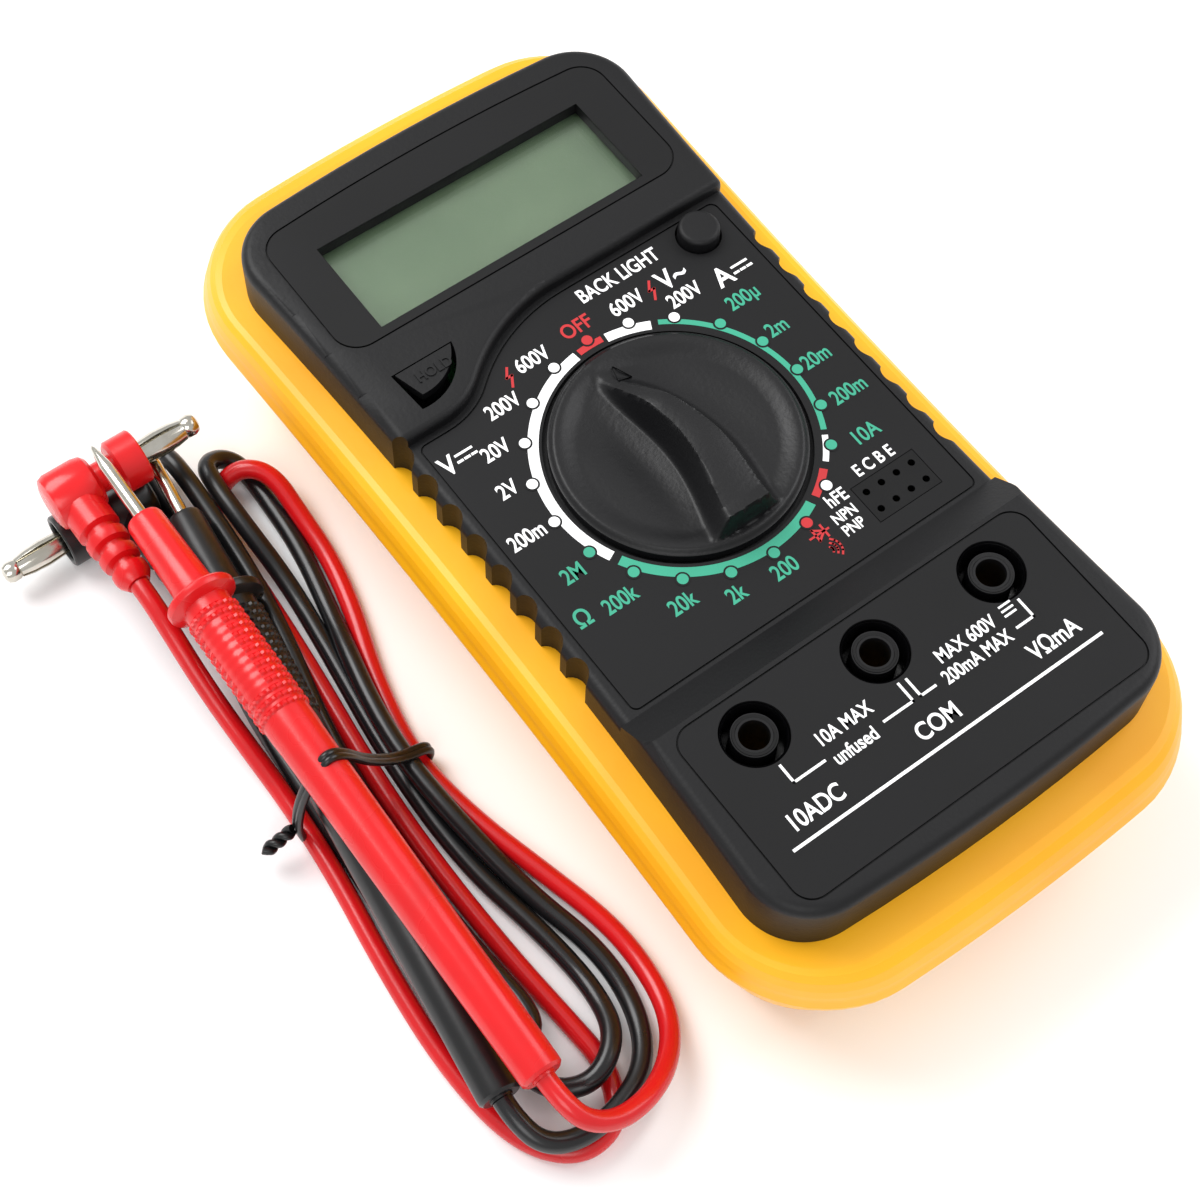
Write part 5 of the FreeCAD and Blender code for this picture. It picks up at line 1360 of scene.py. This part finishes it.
RED_ROUTE = [
    (-60.6, -54.5, 14.5),
    (-60.6, -57.4, 14.4),
    (-59.4, -61.2, 12.4),
    (-55.6, -63.0, 9.8),
    (-50.0, -62.4, 7.6),
    (-44.6, -59.4, 5.0),
    (-40.6, -54.0, 2.6),
    (-39.2, -46.5, 1.45),
    (-39.6, -39.0, 1.45),
    (-42.2, -29.0, 1.45),
    (-45.4, -17.0, 1.45),
    (-46.8, -5.0, 1.45),
    (-44.2, 8.0, 1.45),
    (-40.8, 18.0, 1.45),
    (-38.8, 27.0, 1.45),
    (-38.6, 34.5, 2.4),
    (-38.6, 41.6, 4.6),
    (-41.8, 45.2, 4.7),
    (-46.2, 45.2, 2.0),
    (-49.2, 41.6, 1.5),
    (-49.4, 30.0, 1.45),
    (-50.6, 14.0, 1.45),
    (-52.6, -4.0, 1.45),
    (-53.2, -20.0, 1.45),
    (-52.6, -36.0, 1.45),
    (-51.6, -47.0, 1.45),
    (-51.0, -55.0, 1.45),
    (-54.0, -61.6, 1.45),
    (-60.8, -62.2, 1.45),
    (-66.0, -55.6, 1.45),
    (-67.4, -43.0, 1.45),
    (-66.4, -28.0, 1.45),
    (-64.3, -12.0, 1.45),
    (-63.8, 0.0, 1.6),
    (-64.2, 10.0, 3.6),
    (-64.6, 18.0, 7.4),
    (-64.6, 25.0, 11.2),
    (-64.5, 29.4, 12.7),
    (-64.5, 32.7, 12.8),
]
BLACK_ROUTE = [
    (-65.2, -52.0, 7.7),
    (-65.4, -54.6, 7.5),
    (-64.2, -59.0, 5.8),
    (-60.0, -61.0, 4.5),
    (-54.0, -60.8, 4.4),
    (-47.6, -58.2, 3.2),
    (-43.6, -51.6, 1.45),
    (-42.6, -42.0, 1.45),
    (-45.6, -30.0, 1.45),
    (-47.6, -18.0, 3.8),
    (-48.3, -6.0, 4.0),
    (-47.4, 3.0, 4.0),
    (-45.7, 11.0, 3.5),
    (-43.7, 19.0, 1.45),
    (-41.4, 30.0, 1.45),
    (-40.8, 39.0, 1.45),
    (-40.7, 46.6, 1.45),
    (-42.2, 48.9, 2.4),
    (-44.8, 48.9, 4.0),
    (-46.3, 46.6, 5.1),
    (-46.4, 37.0, 4.8),
    (-45.8, 27.0, 1.8),
    (-47.0, 15.0, 1.45),
    (-49.5, -4.0, 1.45),
    (-49.8, -22.0, 1.45),
    (-47.2, -36.0, 1.45),
    (-46.4, -46.0, 1.6),
    (-48.4, -53.2, 4.4),
    (-54.4, -56.6, 4.4),
    (-59.8, -52.6, 2.0),
    (-60.6, -42.0, 1.45),
    (-59.2, -24.0, 1.45),
    (-58.4, -6.0, 1.45),
    (-57.0, 8.0, 1.45),
    (-54.4, 22.0, 1.45),
    (-53.0, 34.0, 1.45),
    (-52.6, 42.0, 1.45),
    (-52.5, 50.0, 1.8),
    (-51.8, 53.4, 3.0),
    (-49.8, 53.4, 5.4),
    (-49.2, 50.0, 6.3),
    (-49.3, 41.0, 5.4),
    (-49.8, 30.0, 4.3),
    (-51.6, 18.0, 4.3),
    (-54.2, 6.0, 3.4),
    (-55.5, -6.0, 1.45),
    (-56.2, -22.0, 1.45),
    (-55.8, -34.0, 2.0),
    (-55.2, -44.4, 4.4),
    (-57.4, -47.0, 4.5),
    (-60.6, -47.0, 4.5),
    (-62.8, -44.4, 4.2),
    (-63.0, -30.0, 1.45),
    (-61.6, -14.0, 1.45),
    (-61.1, 0.0, 1.45),
    (-60.6, 12.0, 1.45),
    (-58.8, 22.0, 1.6),
    (-57.7, 28.0, 3.6),
    (-57.7, 32.0, 4.3),
]


# ---------------------------------------------------------------- stage, lights and camera


@dataclass
class Studio:
    """A pale floor, soft lights and the camera."""

    lens: float = 68.75
    eye: tuple[float, float, float] = (-107.837, -116.503, 285.516)
    across: tuple[float, float, float] = (0.80174935, -0.59702585, 0.02753384)
    upward: tuple[float, float, float] = (0.51779468, 0.71688079, 0.46687322)
    back: tuple[float, float, float] = (-0.29847386, -0.36005843, 0.88389551)

    def camera(self) -> None:
        """Places the camera."""
        data = bpy.data.cameras.new("view_camera")
        data.lens = self.lens
        data.sensor_width = 36.0
        data.clip_start = 0.01
        holder = bpy.data.objects.new("view_camera", data)
        turn = Matrix((self.across, self.upward, self.back)).transposed().to_4x4()
        holder.matrix_world = Matrix.Translation(Vector(self.eye) * MM) @ turn
        bpy.context.scene.collection.objects.link(holder)
        bpy.context.scene.camera = holder

    def lamp(self, name: str, spot: Vector, size: float, power: float, colour: str) -> None:
        """Adds a soft square lamp that faces the meter.

        Args:
            name: its name.
            spot: where it hangs, in metres.
            size: its side in metres.
            power: its power in watts.
            colour: its colour.
        """
        data = bpy.data.lights.new(name, "AREA")
        data.size = size
        data.energy = power
        data.color = linear(colour)[:3]
        holder = bpy.data.objects.new(name, data)
        aim = Vector((-0.01, 0.0, 0.02))
        holder.matrix_world = aimed(spot, spot - aim)
        bpy.context.scene.collection.objects.link(holder)

    def build(self) -> None:
        """Builds the floor, the lights and the sky."""
        floor = bmesh.new()
        bmesh.ops.create_grid(floor, x_segments=1, y_segments=1, size=3.0)
        mesh = bpy.data.meshes.new("floor")
        floor.to_mesh(mesh)
        floor.free()
        piece = bpy.data.objects.new("floor", mesh)
        bpy.context.scene.collection.objects.link(piece)
        paper = Finish("pale_backdrop", "fbfbfb", "f7f7f7", 0.7, grain_depth_mm=0.0, patch_mm=400)
        piece.data.materials.append(paper.make())
        self.lamp("window_light", Vector((-0.25, 0.6, 0.8)), 0.6, 7.5, "ffffff")
        self.lamp("fill_light", Vector((0.65, -0.1, 0.6)), 0.6, 3.2, "fdfdff")
        self.lamp("front_light", Vector((-0.5, -0.5, 0.7)), 0.5, 2.4, "ffffff")
        world = bpy.data.worlds.new("studio")
        world.use_nodes = True
        world.node_tree.nodes["Background"].inputs["Color"].default_value = (1.0, 1.0, 1.0, 1.0)
        world.node_tree.nodes["Background"].inputs["Strength"].default_value = 0.66
        bpy.context.scene.world = world
        bpy.context.scene.view_settings.view_transform = "Standard"


def dress_cad() -> None:
    """Smooths the visible CAD nodes and gives the hidden ones their finishes."""
    smooth = {
        "front_case": (Body.METER, "case_black"),
        "rear_case": (Body.METER, "case_black"),
        "backlight_button": (Body.BACKLIGHT, "key_black"),
        "hold_key": (Body.HOLD, "key_black"),
        "tilt_stand": (Body.STAND, "boot_rubber"),
        "range_label": (Body.METER, "label_black"),
        "display_label": (Body.METER, "label_black"),
        "jack_label": (Body.METER, "label_black"),
    }
    for node, finish in CAD_FINISHES.items():
        if node in smooth:
            body, slot = smooth[node]
            refine(node, finish, body)
            continue
        piece = bpy.data.objects[node]
        piece.data.materials.clear()
        piece.data.materials.append(finish.make())


def main() -> None:
    """Builds every piece in order."""
    logging.basicConfig(level=logging.INFO, format="%(relativeCreated)d %(name)s %(message)s")
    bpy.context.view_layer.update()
    studio = Studio()
    studio.camera()
    for probe in (RED_PROBE, BLACK_PROBE):
        probe.handle()
        probe.tip()
    for plug in (RED_PLUG, BLACK_PLUG):
        plug.build()
    bpy.context.view_layer.update()
    Lead("red", RED_LEAD, RED_ROUTE, 0.351).build()
    Lead("black", BLACK_LEAD, BLACK_ROUTE, 0.547).build()
    TwistTie().build()
    dress_cad()
    Boot().build()
    Knob().build()
    Printing().build()
    CaseDetails().build()
    studio.build()


if __name__ == "__main__":
    main()
